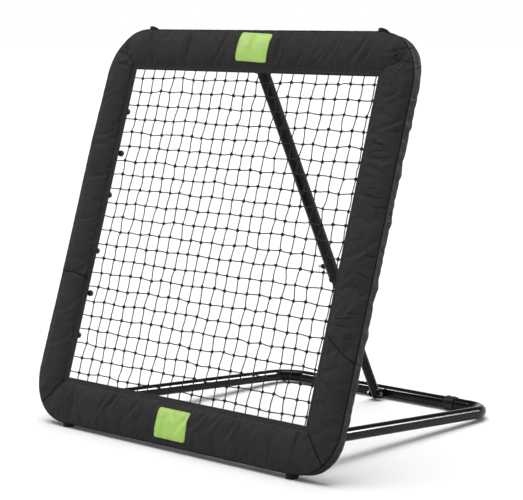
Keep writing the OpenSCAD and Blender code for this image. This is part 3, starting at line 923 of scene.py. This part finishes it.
# Each cover piece: its side, and which part of the side it is, toward the lower or upper mitre
PADS = {
    "cover_bottom": ("bottom", "whole"),
    "cover_top": ("top", "whole"),
    "cover_right_lower": ("right", "lower"),
    "cover_right_upper": ("right", "upper"),
    "cover_left_lower": ("left", "lower"),
    "cover_left_upper": ("left", "upper"),
}

# Ends that show a seam cord
SEWN_ENDS = {
    "cover_bottom": ("first", "last"),
    "cover_left_upper": ("last",),
    "cover_right_upper": ("first",),
}

# Middles of the gaps in the back flap, along the side, that brackets pass through
NOTCHES = {"cover_bottom": (-428 * MM, 428 * MM), "cover_top": (0.0,)}
NOTCH_HALF = 37.5 * MM
NOTCH_ENDS = 6 * MM
NOTCH_DEPTH = 5 * MM

# Folds in the cloth: across and up of the middle, direction in degrees, half length, width, height
FOLDS = [
    (205, 533, 70, 20, 5, 1.6), (262, 528, 40, 26, 6, -1.2), (418, 546, 50, 30, 8, 2.6),
    (440, 540, 55, 26, 6, -2.0), (330, 560, 65, 18, 6, 1.4), (120, 545, 80, 22, 8, 1.0),
    (538, 548, 12, 34, 5, 2.6), (552, 530, 40, 26, 5, -2.4), (575, 520, 60, 30, 5, 2.2),
    (560, 500, 150, 26, 5, 2.2), (592, 470, 100, 34, 6, 1.8), (530, 470, 165, 20, 4, 1.4),
    (566, 424, 20, 24, 5, 2.0), (545, 398, 160, 26, 4, 2.0), (572, 384, 160, 30, 4, 2.2),
    (590, 345, 25, 28, 6, 2.6), (545, 330, 165, 26, 4, 1.8), (560, 300, 160, 32, 4, 2.4),
    (552, 268, 168, 28, 4, 2.0), (566, 238, 158, 30, 5, 2.4), (545, 212, 170, 24, 4, 1.6),
    (560, 160, 160, 30, 5, 1.8), (552, 96, 165, 26, 5, 1.4), (540, 30, 150, 22, 6, 1.2),
    (566, -20, 30, 30, 8, 1.6), (550, -84, 40, 26, 7, 1.6), (572, -170, 60, 34, 9, 1.8),
    (545, -360, 150, 30, 9, 1.4), (575, -430, 120, 26, 8, 1.4),
    (-575, 262, 2, 40, 6, 2.0), (-560, 244, 178, 34, 5, -1.6), (-560, 128, 4, 44, 6, 1.8),
    (-590, 60, 176, 30, 5, 1.4), (-565, -8, 6, 34, 5, 1.4), (-555, -110, 172, 40, 6, 1.6),
    (-575, -300, 8, 30, 7, 1.2), (-560, -400, 20, 30, 7, 1.2), (-585, 400, 20, 30, 8, 1.4),
    (-292, -545, 72, 34, 6, 2.4), (-268, -536, 60, 28, 6, -2.0), (-248, -530, 65, 26, 6, 1.6),
    (-160, -548, 55, 34, 7, 2.4), (-138, -560, 50, 26, 6, -1.6), (60, -548, 58, 34, 7, 2.2),
    (118, -536, 52, 34, 7, 2.4), (165, -548, 48, 34, 8, 2.0), (240, -555, 60, 30, 8, 1.4),
    (400, -545, 110, 26, 8, 1.2), (-420, -548, 100, 28, 9, 1.4), (330, -530, 70, 24, 7, 1.2),
    (-400, 545, 100, 26, 8, 1.2), (-250, 552, 80, 26, 9, 1.0), (-120, 540, 60, 24, 8, 1.0),
    (-541, 531, 153, 30, 5, -4.2), (-540, 511, 172, 30, 5, 3.8), (-532, 543, 141, 24, 4, -3.4),
]

# Gain of the folds' heights, and the smaller one of the left covers, where the cloth is tight
FOLD_GAIN = 2.0
TIGHT_GAIN = 0.9
TIGHT_ABOVE = -480 * MM

# The cloth of the front: its least and greatest height over the foam, the depth and width of a
# mitre's crease, the gathers beside it on the upper and lower corners, and the small crumples
LOWEST, HIGHEST = -4.4 * MM, 7 * MM
MITRE_DEPTH, MITRE_WIDTH = 2.6 * MM, 3.4 * MM
UPPER_GATHERS, LOWER_GATHERS = 5.5 * MM, 2.2 * MM
CRUMPLES = 0.5 * MM


def fold_height(across, up):
    """Height of the cloth's folds at a flat place; each is a ridge with a hollow beside it."""
    total = 0.0
    for x, y, angle, reach, width, height in FOLDS:
        dx, dy = across / MM - x, up / MM - y
        if dx * dx + dy * dy > (2.2 * reach) ** 2:
            continue
        c, s = math.cos(math.radians(angle)), math.sin(math.radians(angle))
        along, beside = dx * c + dy * s, dy * c - dx * s
        beside -= along * along / (6 * reach)
        ridge = math.exp(-((beside / width) ** 2))
        hollow = math.exp(-(((beside - 1.7 * width) / width) ** 2))
        total += height * math.exp(-((along / reach) ** 2)) * (ridge - 0.7 * hollow)
    tight = across < 0 and up > TIGHT_ABOVE
    return (TIGHT_GAIN if tight else FOLD_GAIN) * total * MM


def seam_shift(side, inward):
    """How far the seam between a side's two covers lies above its straight place."""
    part = min(max((inward - OUTER_EDGE) / (INNER_EDGE - OUTER_EDGE), 0), 1)
    # The right seam curves up toward the opening, and the left one down
    if side == "right":
        return (75 * part**1.3 - 82) * MM
    return (52 - 20 * part**4) * MM


def pad_stations(name, step):
    """Stations of a cover piece, with more of them at its ends and beside its notches."""
    side, part = PADS[name]
    extra = []
    for middle in NOTCHES.get(name, ()):
        for reach in (0, 2, 4, NOTCH_ENDS / MM):
            extra += [middle - NOTCH_HALF - reach * MM, middle + NOTCH_HALF + reach * MM]
    if part != "whole":
        extra = [PADS_UPWARD[side] * (SIDE_SEAM + gap * MM) for gap in SEAM_ROWS]
    stations = side_stations(step, extra)
    if part == "whole":
        return stations
    return [s for s in stations if in_part(part, seam_gap(side, s))]


def seam_gap(side, station):
    """Distance of a station above the seam between a side's two covers."""
    return PADS_UPWARD[side] * station_length(station) - SIDE_SEAM


def in_part(part, gap):
    if part == "upper":
        return gap > -0.1 * MM
    return gap < SEAM_OVERLAP + 0.1 * MM


def notch_depth(name, station):
    """How far a station lies inside a notch of the back flap, from 0 to 1."""
    gaps = [abs(station[0] - middle) for middle in NOTCHES.get(name, ())]
    if not gaps or station[1]:
        return 0.0
    return 1 - smooth_step(NOTCH_HALF, NOTCH_HALF + NOTCH_ENDS, min(gaps))


def notched(k, inward, back, depth):
    """A section point's place where the back flap is cut away down to a narrow rim."""
    if k not in SECTION.flap_rows or inward < NOTCH_DEPTH:
        return inward, back
    skin = SLEEVE_OUTSIDE if k < SECTION.outside else SLEEVE_INSIDE
    short = NOTCH_DEPTH + (inward - NOTCH_DEPTH) * 0.05
    level = skin - 0.5 * MM
    return inward + (short - inward) * depth, back + (level - back) * depth


def loop_bulge(station):
    """How far the bungee loops around the tube lift the sleeve at a station, and its own waves."""
    gaps = [abs(abs(station[0]) - place) for place in LOOP_PLACES]
    wave = SLEEVE_WAVES * abs(noise.noise(Vector((station[0] * 14, 4.2, 1.7))))
    return 0.0 if station[1] else wave + LOOP_LIFT * math.exp(-((min(gaps) / LOOP_WIDTH) ** 2))


def between_rows(table, x):
    """A value between the rows (place, value) of a table, whose places rise."""
    if x <= table[0][0]:
        return table[0][1]
    for (x0, y0), (x1, y1) in zip(table, table[1:]):
        if x <= x1:
            return y0 + (y1 - y0) * smooth_step(x0, x1, x)
    return table[-1][1]


# How far the outer part hangs below the tube, from one height to the other, and how full its
# corners are: the left ones, the right ones, and more of it toward the right ones' back
HANG_RANGE = (400 * MM, 590 * MM)
BOTTOM_HANG, BOTTOM_SLOPE, TOP_HANG = 7 * MM, 0.0025, 2 * MM
LEFT_FULLNESS, LOWER_FULLNESS, UPPER_FULLNESS, BACK_FULLNESS = 2 * MM, 8 * MM, 4.5 * MM, 6 * MM


def drape(across, back, up, inward):
    """Shift across and up of the cover's outer part, which hangs low or stands off the tube."""
    weight = 1 - smooth_step(5 * MM, 80 * MM, inward)
    if not weight:
        return 0.0, 0.0
    front = 1 - smooth_step(-12 * MM, 0, back)
    hang = smooth_step(*HANG_RANGE, -up) * (BOTTOM_HANG - BOTTOM_SLOPE * across)
    low = smooth_step(*HANG_RANGE, up) * TOP_HANG * front
    aside = 0.0
    if across < 0:
        aside = between_rows(LEFT_EDGE, up / MM) * MM * front
    elif back > -14 * MM:
        aside = between_rows(RIGHT_EDGE, up / MM) * MM * smooth_step(-14 * MM, -4 * MM, back)
    aside *= smooth_step(470 * MM, 590 * MM, abs(across))
    shift = Vector((aside, -hang - low))
    corner = Vector((abs(across) - BEND_START, abs(up) - BEND_START))
    if corner.x > 0 and corner.y > 0:
        turn = math.atan2(corner.y, corner.x)
        full = LEFT_FULLNESS
        if across > 0:
            full = (LOWER_FULLNESS if up < 0 else UPPER_FULLNESS) + BACK_FULLNESS * (1 - front)
        stand = corner.normalized() * full * math.sin(2 * turn) ** 2
        shift += Vector((math.copysign(stand.x, across), math.copysign(stand.y, up)))
    return shift.x * weight, shift.y * weight


def cloth_offset(across, up, back, inward, mitre_gap, settings):
    """How far the front's cloth stands off its foam: crown, crease, gathers, folds and crumples."""
    middle = (FOAM_EDGE + OUTER_EDGE) / 2
    crown = max(0.0, 1 - ((inward - middle) / (FOAM_EDGE - middle)) ** 2)
    crease = math.exp(-((mitre_gap / MITRE_WIDTH) ** 2))
    # Gathers rise beside the mitre's crease and die away from it
    near = math.exp(-mitre_gap / (26 * MM)) - math.exp(-mitre_gap / (5 * MM))
    along_seam = (abs(across) + abs(up)) / math.sqrt(2)
    gather = noise.noise(Vector((along_seam / (13 * MM), mitre_gap / (60 * MM), 3.1)))
    gather += 0.5 * noise.noise(Vector((along_seam / (6 * MM), mitre_gap / (25 * MM), 7.7)))
    place = Vector((across, back, up))
    small = noise.noise(place * 22) + 0.6 * noise.noise(place * 52 + Vector((9, 2, 4)))
    gathers = (UPPER_GATHERS if up > 0 else LOWER_GATHERS) * near * gather
    off = settings.crown * crown - MITRE_DEPTH * crease + gathers + CRUMPLES * small
    return off + fold_height(across, up)


def seam_offset(part, gap):
    """Lift of the upper cover's end, and drop of the lower cover's end under it."""
    if part == "upper":
        rounded = 1.6 * MM * math.exp(-gap / (1.2 * MM))
        return LAP_LIFT * math.exp(-((gap / (22 * MM)) ** 2)) - rounded
    if part == "lower":
        return -LAP_DROP * smooth_step(-12 * MM, 3 * MM, gap)
    return 0.0


def place_cloth(name, station, k, settings):
    """A pad's point in space, from its station along the side and its place in the section."""
    side, part = PADS[name]
    inward, back = SECTION.points[k]
    inward, back = notched(k, inward, back, notch_depth(name, station))
    gap = seam_gap(side, station)
    if part != "whole":
        pull = math.exp(-((gap / (110 * MM)) ** 2))
        station = (station[0] + PADS_UPWARD[side] * seam_shift(side, inward) * pull, station[1])
    freedom = SECTION.freedom[k]
    if freedom:
        # The sleeve takes its wrinkles as if its cloth lay flat beside the front's
        unrolled = inward if back < FRONT + 6 * MM else OUTER_EDGE - (back - FRONT)
        along, out = along_side(station, inward if inward > 0 else unrolled)
        across, up = SIDES[side](along, out)
        mitre_gap = max((out - abs(along)) / math.sqrt(2), 0)
        off = cloth_offset(across, up, back, inward, mitre_gap, settings) + seam_offset(part, gap)
        off = min(max(off, LOWEST), HIGHEST) * freedom
        if freedom < 0.5 or back > -2 * MM:
            off = max(off, -0.2 * MM)
        nx, ny = SECTION.directions[k]
        inward, back = inward + nx * off, back + ny * off
    if k in SECTION.tube_rows:
        lift = loop_bulge(station) / math.hypot(inward, back)
        lift *= 1 - smooth_step(0, 45 * MM, inward)
        inward, back = inward * (1 + lift), back * (1 + lift)
    across, up = SIDES[side](*along_side(station, inward))
    shift = drape(across, back, up, inward)
    return face_point(across + shift[0], back, up + shift[1])


def build_pad(name, settings, step=6 * MM):
    """One cover piece as a closed mesh: a ring of the section's points at each station."""
    stations = pad_stations(name, step)
    lengths = SECTION.lengths()
    ring = len(SECTION.points)
    points, places, faces = [], [], []
    for station in stations:
        for k in range(ring):
            points.append(place_cloth(name, station, k, settings))
            places.append((station_length(station), lengths[k]))
    for r in range(len(stations) - 1):
        for k in range(ring):
            a, b = r * ring + k, r * ring + (k + 1) % ring
            faces.append((a, b, b + ring, a + ring))
    last = (len(stations) - 1) * ring
    faces.append(tuple(range(ring - 1, -1, -1)))
    faces.append(tuple(range(last, last + ring)))
    pad = add_object(name + "_pad", points, faces, places=places)
    outward(pad)
    pad["rows"] = len(stations)
    return pad


# How firmly the simulation holds a point that is free, and one that is less so
LEAST_HOLD, HOLD_GAIN = 0.06, 0.3


def relax_pad(pad, settings):
    """Cloth simulation: the cover's cloth is a little larger than its foam, so it wrinkles."""
    ring, rows = len(SECTION.points), pad["rows"]
    group = pad.vertex_groups.new(name="held")
    for index in range(ring * rows):
        row, k = divmod(index, ring)
        freedom = SECTION.freedom[k]
        # The hem, the flap, the inside and both ends stay where they are
        fixed = freedom <= 0.3 or row in (0, 1, rows - 2, rows - 1)
        group.add([index], 1.0 if fixed else LEAST_HOLD + HOLD_GAIN * (1 - freedom), "REPLACE")
    start = [v.co.copy() for v in pad.data.vertices]
    modifier = pad.modifiers.new("cloth", "CLOTH")
    cloth = modifier.settings
    cloth.quality = 5
    cloth.mass = 0.2
    cloth.tension_stiffness = cloth.compression_stiffness = 12
    cloth.shear_stiffness = 4
    cloth.bending_stiffness = 0.35
    cloth.vertex_group_mass = "held"
    cloth.pin_stiffness = 1
    cloth.use_pressure = True
    cloth.uniform_pressure_force = 2.0
    cloth.shrink_min = -settings.fullness
    cloth.effector_weights.gravity = 0
    modifier.collision_settings.use_collision = False
    modifier.point_cache.frame_start = 1
    modifier.point_cache.frame_end = settings.frames
    scene = bpy.context.scene
    for step in range(1, settings.frames + 1):
        scene.frame_set(step)
    bake_modifiers(pad)
    for vertex, rest in zip(pad.data.vertices, start):
        move = vertex.co - rest
        if move.length > settings.freedom:
            vertex.co = rest + move * (settings.freedom / move.length)
    scene.frame_set(1)
    pad.vertex_groups.clear()


def pad_line(pad, mark, lift):
    """Points along a marked row of a finished pad, lifted off its surface."""
    ring, line = len(SECTION.points), []
    for row in range(1, pad["rows"] - 1):
        vertex = pad.data.vertices[row * ring + SECTION.marks[mark]]
        line.append(vertex.co + vertex.normal * lift)
    return line


def end_line(pad, row):
    """Points across the front along a finished pad's row beside one of its ends."""
    ring, line = len(SECTION.points), []
    for k in range(SECTION.marks["groove"], SECTION.marks["piping"] + 1):
        vertex = pad.data.vertices[row * ring + k]
        line.append(vertex.co + vertex.normal * 0.3 * MM)
    return line


def line_object(name, points, closed=False):
    """A line of edges through points."""
    edges = [(k, k + 1) for k in range(len(points) - 1)]
    if closed:
        edges.append((len(points) - 1, 0))
    return add_object(name, points, [], edges)


def ride_frame(piece):
    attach(piece, BODY)
    return piece


def stitched(name, points, yarn, closed=False, spacing=7 * MM, length=4.4 * MM):
    """Stitches of a yarn along points; it rides on the frame."""
    tree = bpy.data.node_groups.get("stitch_run") or stitch_tree()
    piece = line_object(name, points, closed)
    run_tree(piece, tree, {"Spacing": spacing, "Length": length, "Material": finish(yarn)})
    return ride_frame(piece)


class REBOUNDER_OT_cover(bpy.types.Operator):
    """Padded cover: six cloth pads with hems, piping and stitches"""

    bl_idname = "rebounder.cover"
    bl_label = "Padded cover"

    def execute(self, context):
        settings = context.scene.rebounder_cover
        # The piping and seam cords get the tape finish, whose dark colour is partly painted shade
        # along the seams
        tree, tape_with_painted_shade = piping_tree(), finish("edge_binding")
        for name in PADS:
            pad = build_pad(name, settings)
            relax_pad(pad, settings)
            finer = pad.modifiers.new("finer", "SUBSURF")
            finer.levels = finer.render_levels = 1
            bake_modifiers(pad)
            for mark in ("stitches", "groove"):
                stitched(name + "_" + mark, pad_line(pad, mark, 0.1 * MM), "sewing_thread")
            bindings = {name + "_binding": (pad_line(pad, "piping", 0.1 * MM), settings.piping)}
            for end in SEWN_ENDS.get(name, ()):
                row = 1 if end == "first" else pad["rows"] - 2
                bindings[name + "_seam_" + end] = (end_line(pad, row), settings.seam)
            for label, (line, radius) in bindings.items():
                binding = line_object(label, line)
                run_tree(binding, tree, {"Radius": radius, "Material": tape_with_painted_shade})
                ride_frame(binding)
            dress(pad, "padded_cover")
            ride_frame(pad)
            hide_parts(name)
        return {"FINISHED"}


# Each patch: its cover, its place across, up or down, and its turn in degrees; and how far
# outward of the cover's middle both lie
PATCHES = (("top", 4 * MM, 1, -2.3), ("bottom", 0, -1, 0))
PATCH_OUTWARD = 9 * MM


def patch_outline_half(up, half_w, half_h, corner):
    """Half width of the rounded patch at a height."""
    past = abs(up) - (half_h - corner)
    if past <= 0:
        return half_w
    return half_w - corner + math.sqrt(max(corner * corner - past * past, 0))


def build_patch(name, node, pad, middle_across, middle_up, turn):
    """A patch laid on a pad's surface, with its line of stitches; node is what it replaces."""
    settings = bpy.context.scene.rebounder_patches
    half_w, half_h, corner = settings.width / 2, settings.height / 2, settings.corner
    across_steps, up_steps = 30, 22
    tree = BVHTree.FromObject(pad, bpy.context.evaluated_depsgraph_get())
    toward = face_point(0, 1, 0) - face_point(0, 0, 0)
    turned = math.radians(turn)

    def laid(across, up, lift):
        x = middle_across + across * math.cos(turned) - up * math.sin(turned)
        y = middle_up + across * math.sin(turned) + up * math.cos(turned)
        start = face_point(x, -80 * MM, y)
        hit = tree.ray_cast(start, toward)[0]
        if hit is None:
            raise ValueError(name + " lies off its pad")
        return hit - toward * lift

    points, faces, places = [], [], []
    for j in range(up_steps + 1):
        up = half_h * math.sin(math.pi * (j / up_steps - 0.5))
        half = patch_outline_half(up, half_w, half_h, corner)
        for i in range(across_steps + 1):
            across = half * (2 * i / across_steps - 1)
            points.append(laid(across, up, 0.5 * MM))
            places.append((across, up))
    for j in range(up_steps):
        for i in range(across_steps):
            a = j * (across_steps + 1) + i
            faces.append((a, a + 1, a + across_steps + 2, a + across_steps + 1))
    patch = add_object(name, points, faces, places=places)
    shell = patch.modifiers.new("cloth thickness", "SOLIDIFY")
    shell.thickness = 0.9 * MM
    shell.offset = 0
    bake_modifiers(patch)
    outward(patch)
    dress(patch, "lime_patch")
    ride_frame(patch)
    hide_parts(node)
    inset, line_points = 3 * MM, 120
    line = []
    for k in range(line_points):
        a = 2 * math.pi * k / line_points
        square = 1 / max(abs(math.cos(a)), abs(math.sin(a)))
        across = (half_w - inset) * math.cos(a) * square
        up = (half_h - inset) * math.sin(a) * square
        line.append(laid(across, up, 1.1 * MM))
    stitched(name + "_stitches", line, "lime_thread", closed=True, spacing=4.5 * MM, length=3 * MM)
    return patch


class REBOUNDER_OT_patches(bpy.types.Operator):
    """Two plain coloured patches, sewn on the top and bottom pads"""

    bl_idname = "rebounder.patches"
    bl_label = "Patches"

    def execute(self, context):
        outward_place = FRAME_HALF - (INNER_EDGE + OUTER_EDGE) / 2 + PATCH_OUTWARD
        for end, across, side, turn in PATCHES:
            pad = bpy.data.objects[f"cover_{end}_pad"]
            node, up = f"cover_patch_{end}", side * outward_place
            build_patch(f"patch_{end}", node, pad, across, up, turn)
        return {"FINISHED"}


def knot_object():
    """A small overhand knot of twine, one unit in size."""
    around, tube = 14, 4
    points, faces = [], []
    for k in range(around):
        t = 2 * math.pi * k / around
        c, s, c2, s2 = math.cos(t), math.sin(t), math.cos(2 * t), math.sin(2 * t)
        middle = Vector((s + 2 * s2, c - 2 * c2, -math.sin(3 * t)))
        ahead = Vector((c + 4 * c2, -s + 4 * s2, -3 * math.cos(3 * t)))
        turn = ahead.to_track_quat("Z", "Y")
        for j in range(tube):
            a = 2 * math.pi * j / tube
            points.append(middle * 0.34 + turn @ Vector((math.cos(a), math.sin(a), 0)) * 0.5)
    for k in range(around):
        for j in range(tube):
            a, b = k * tube + j, k * tube + (j + 1) % tube
            ahead_a, ahead_b = (a + tube) % len(points), (b + tube) % len(points)
            faces.append((a, b, ahead_b, ahead_a))
    knot = add_object("knot", points, faces)
    outward(knot)
    return knot


class REBOUNDER_OT_net(bpy.types.Operator):
    """Knotted net inside the cover"""

    bl_idname = "rebounder.net"
    bl_label = "Net"

    def execute(self, context):
        settings = context.scene.rebounder_net
        net = add_object("knotted_net_piece", [(0, 0, 0)], [])
        knot = knot_object()
        run_tree(
            net,
            net_tree(),
            {
                "Pitch": settings.pitch,
                "Lines": settings.lines,
                "Reach": NET_REACH,
                "Twine": settings.twine,
                "Knot size": settings.knot,
                "Slack": settings.slack,
                "Seed": NET_SEED,
                "Knot": knot,
                "Material": finish("net_twine"),
            },
        )
        bpy.data.objects.remove(knot)
        lay = Matrix.Translation(FACE_MIDDLE) @ Matrix.Rotation(math.pi / 2 - RECLINE, 4, "X")
        net.data.transform(lay)
        ride_frame(net)
        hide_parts("net")
        return {"FINISHED"}


class REBOUNDER_OT_hardware(bpy.types.Operator):
    """Finishes of the tubes, brackets, bolts, feet, cords and plastic parts"""

    bl_idname = "rebounder.hardware"
    bl_label = "Hardware finishes"

    def execute(self, context):
        slots = {part["node"]: part["material_slot"] for part in frame["record"]["subparts"]}
        for node, piece in frame["nodes"].items():
            piece.data.materials.clear()
            piece.data.materials.append(finish(slots[node]))
        return {"FINISHED"}


def add_sun(name, toward, spread, strength):
    """A lamp far away, that shines from a direction and spreads over an angle."""
    light = bpy.data.lights.new(name, "SUN")
    light.energy = strength
    light.angle = math.radians(spread)
    lamp = bpy.data.objects.new(name, light)
    lamp.rotation_mode = "QUATERNION"
    lamp.rotation_quaternion = Vector(toward).to_track_quat("Z", "Y")
    bpy.context.scene.collection.objects.link(lamp)
    return lamp


def add_camera(settings):
    """A camera that looks at the face's foot, turned, tilted and shifted by its settings."""
    az, el = settings.azimuth, settings.elevation
    back = Vector((math.sin(az) * math.cos(el), -math.cos(az) * math.cos(el), math.sin(el)))
    right = Vector((math.cos(az), math.sin(az), 0))
    up = back.cross(right)
    c, s = math.cos(settings.roll), math.sin(settings.roll)
    right, up = right * c + up * s, up * c - right * s
    foot = face_point(0, 0, -FRAME_HALF)
    foot.z = 0
    data = bpy.data.cameras.new("camera")
    data.lens = settings.lens
    data.sensor_width = 36
    data.clip_end = 200
    camera = bpy.data.objects.new("camera", data)
    camera.rotation_mode = "QUATERNION"
    camera.rotation_quaternion = Matrix((right, up, back)).transposed().to_quaternion()
    camera.location = foot + back * settings.distance + right * settings.aside + up * settings.above
    bpy.context.scene.collection.objects.link(camera)
    bpy.context.scene.camera = camera


# The world's light on everything, as a share of white
EVEN_LIGHT = 0.3


def set_world():
    """A white backdrop, seen in reflections too, with a dim ceiling and a soft box overhead."""
    world = bpy.data.worlds.new("studio")
    bpy.context.scene.world = world
    world.use_nodes = True
    world.node_tree.nodes.clear()
    graph = Graph(world.node_tree)
    seen = graph.rays("Is Camera Ray")
    mirrored = graph.rays("Is Glossy Ray", "Is Transmission Ray")
    toward = graph.out("ShaderNodeTexCoord", None, None, "Generated")
    height = graph.parts(toward)[2]
    walls = height.between(0.1, 0.42, 1.0, 0.1)
    soft_box = height.between(0.82, 0.95, 0.0, 4.0)
    strength = seen + (1 - seen) * (mirrored * (walls + soft_box - EVEN_LIGHT) + EVEN_LIGHT)
    light = graph.out("ShaderNodeBackground", None, {"Color": rgb((1, 1, 1)), "Strength": strength})
    graph.node("ShaderNodeOutputWorld", None, {"Surface": light})


# Lamps: name, direction, spread in degrees, strength. The wide one leaves no glint, and the
# narrow ones show only as glints.
WIDE_LAMP = ("soft_key", (-0.2, 0.1, 1.0), 60, 3.1)
NARROW_LAMPS = (
    ("glint_back", (0.5, 0.72, 0.5), 16, 6.0),
    ("glint_front", (-0.75, -0.45, 0.75), 6, 1.5),
)
FLOOR_HALF = 40.0


class REBOUNDER_OT_stage(bpy.types.Operator):
    """Floor, lamps, world and camera"""

    bl_idname = "rebounder.stage"
    bl_label = "Stage"

    def execute(self, context):
        half = FLOOR_HALF
        corners = [(-half, -half, 0), (half, -half, 0), (half, half, 0), (-half, half, 0)]
        floor = add_object("floor", corners, [(0, 1, 2, 3)])
        floor.data.materials.append(finish("floor"))
        add_sun(*WIDE_LAMP).visible_glossy = False
        for lamp in NARROW_LAMPS:
            add_sun(*lamp).visible_diffuse = False
        set_world()
        add_camera(context.scene.rebounder_stage)
        context.scene.view_settings.view_transform = "Standard"
        return {"FINISHED"}


class REBOUNDER_PT_panel(bpy.types.Panel):
    """Settings, and a button for each piece"""

    bl_label = "Rebounder"
    bl_space_type = "VIEW_3D"
    bl_region_type = "UI"
    bl_category = "Rebounder"

    def draw(self, context):
        for holder, group in SETTINGS.items():
            for name in group.__annotations__:
                self.layout.prop(getattr(context.scene, holder), name)
        for operator in OPERATORS:
            self.layout.operator(operator.bl_idname)


OPERATORS = (
    REBOUNDER_OT_hardware,
    REBOUNDER_OT_cover,
    REBOUNDER_OT_patches,
    REBOUNDER_OT_net,
    REBOUNDER_OT_stage,
)


def register():
    for cls in (*SETTINGS.values(), *OPERATORS, REBOUNDER_PT_panel):
        bpy.utils.register_class(cls)
    for holder, group in SETTINGS.items():
        setattr(bpy.types.Scene, holder, bpy.props.PointerProperty(type=group))


def unregister():
    for holder in SETTINGS:
        delattr(bpy.types.Scene, holder)
    for cls in reversed((*SETTINGS.values(), *OPERATORS, REBOUNDER_PT_panel)):
        bpy.utils.unregister_class(cls)


def main():
    register()
    for operator in OPERATORS:
        group, name = operator.bl_idname.split(".")
        getattr(getattr(bpy.ops, group), name)()


if __name__ == "__main__":
    main()
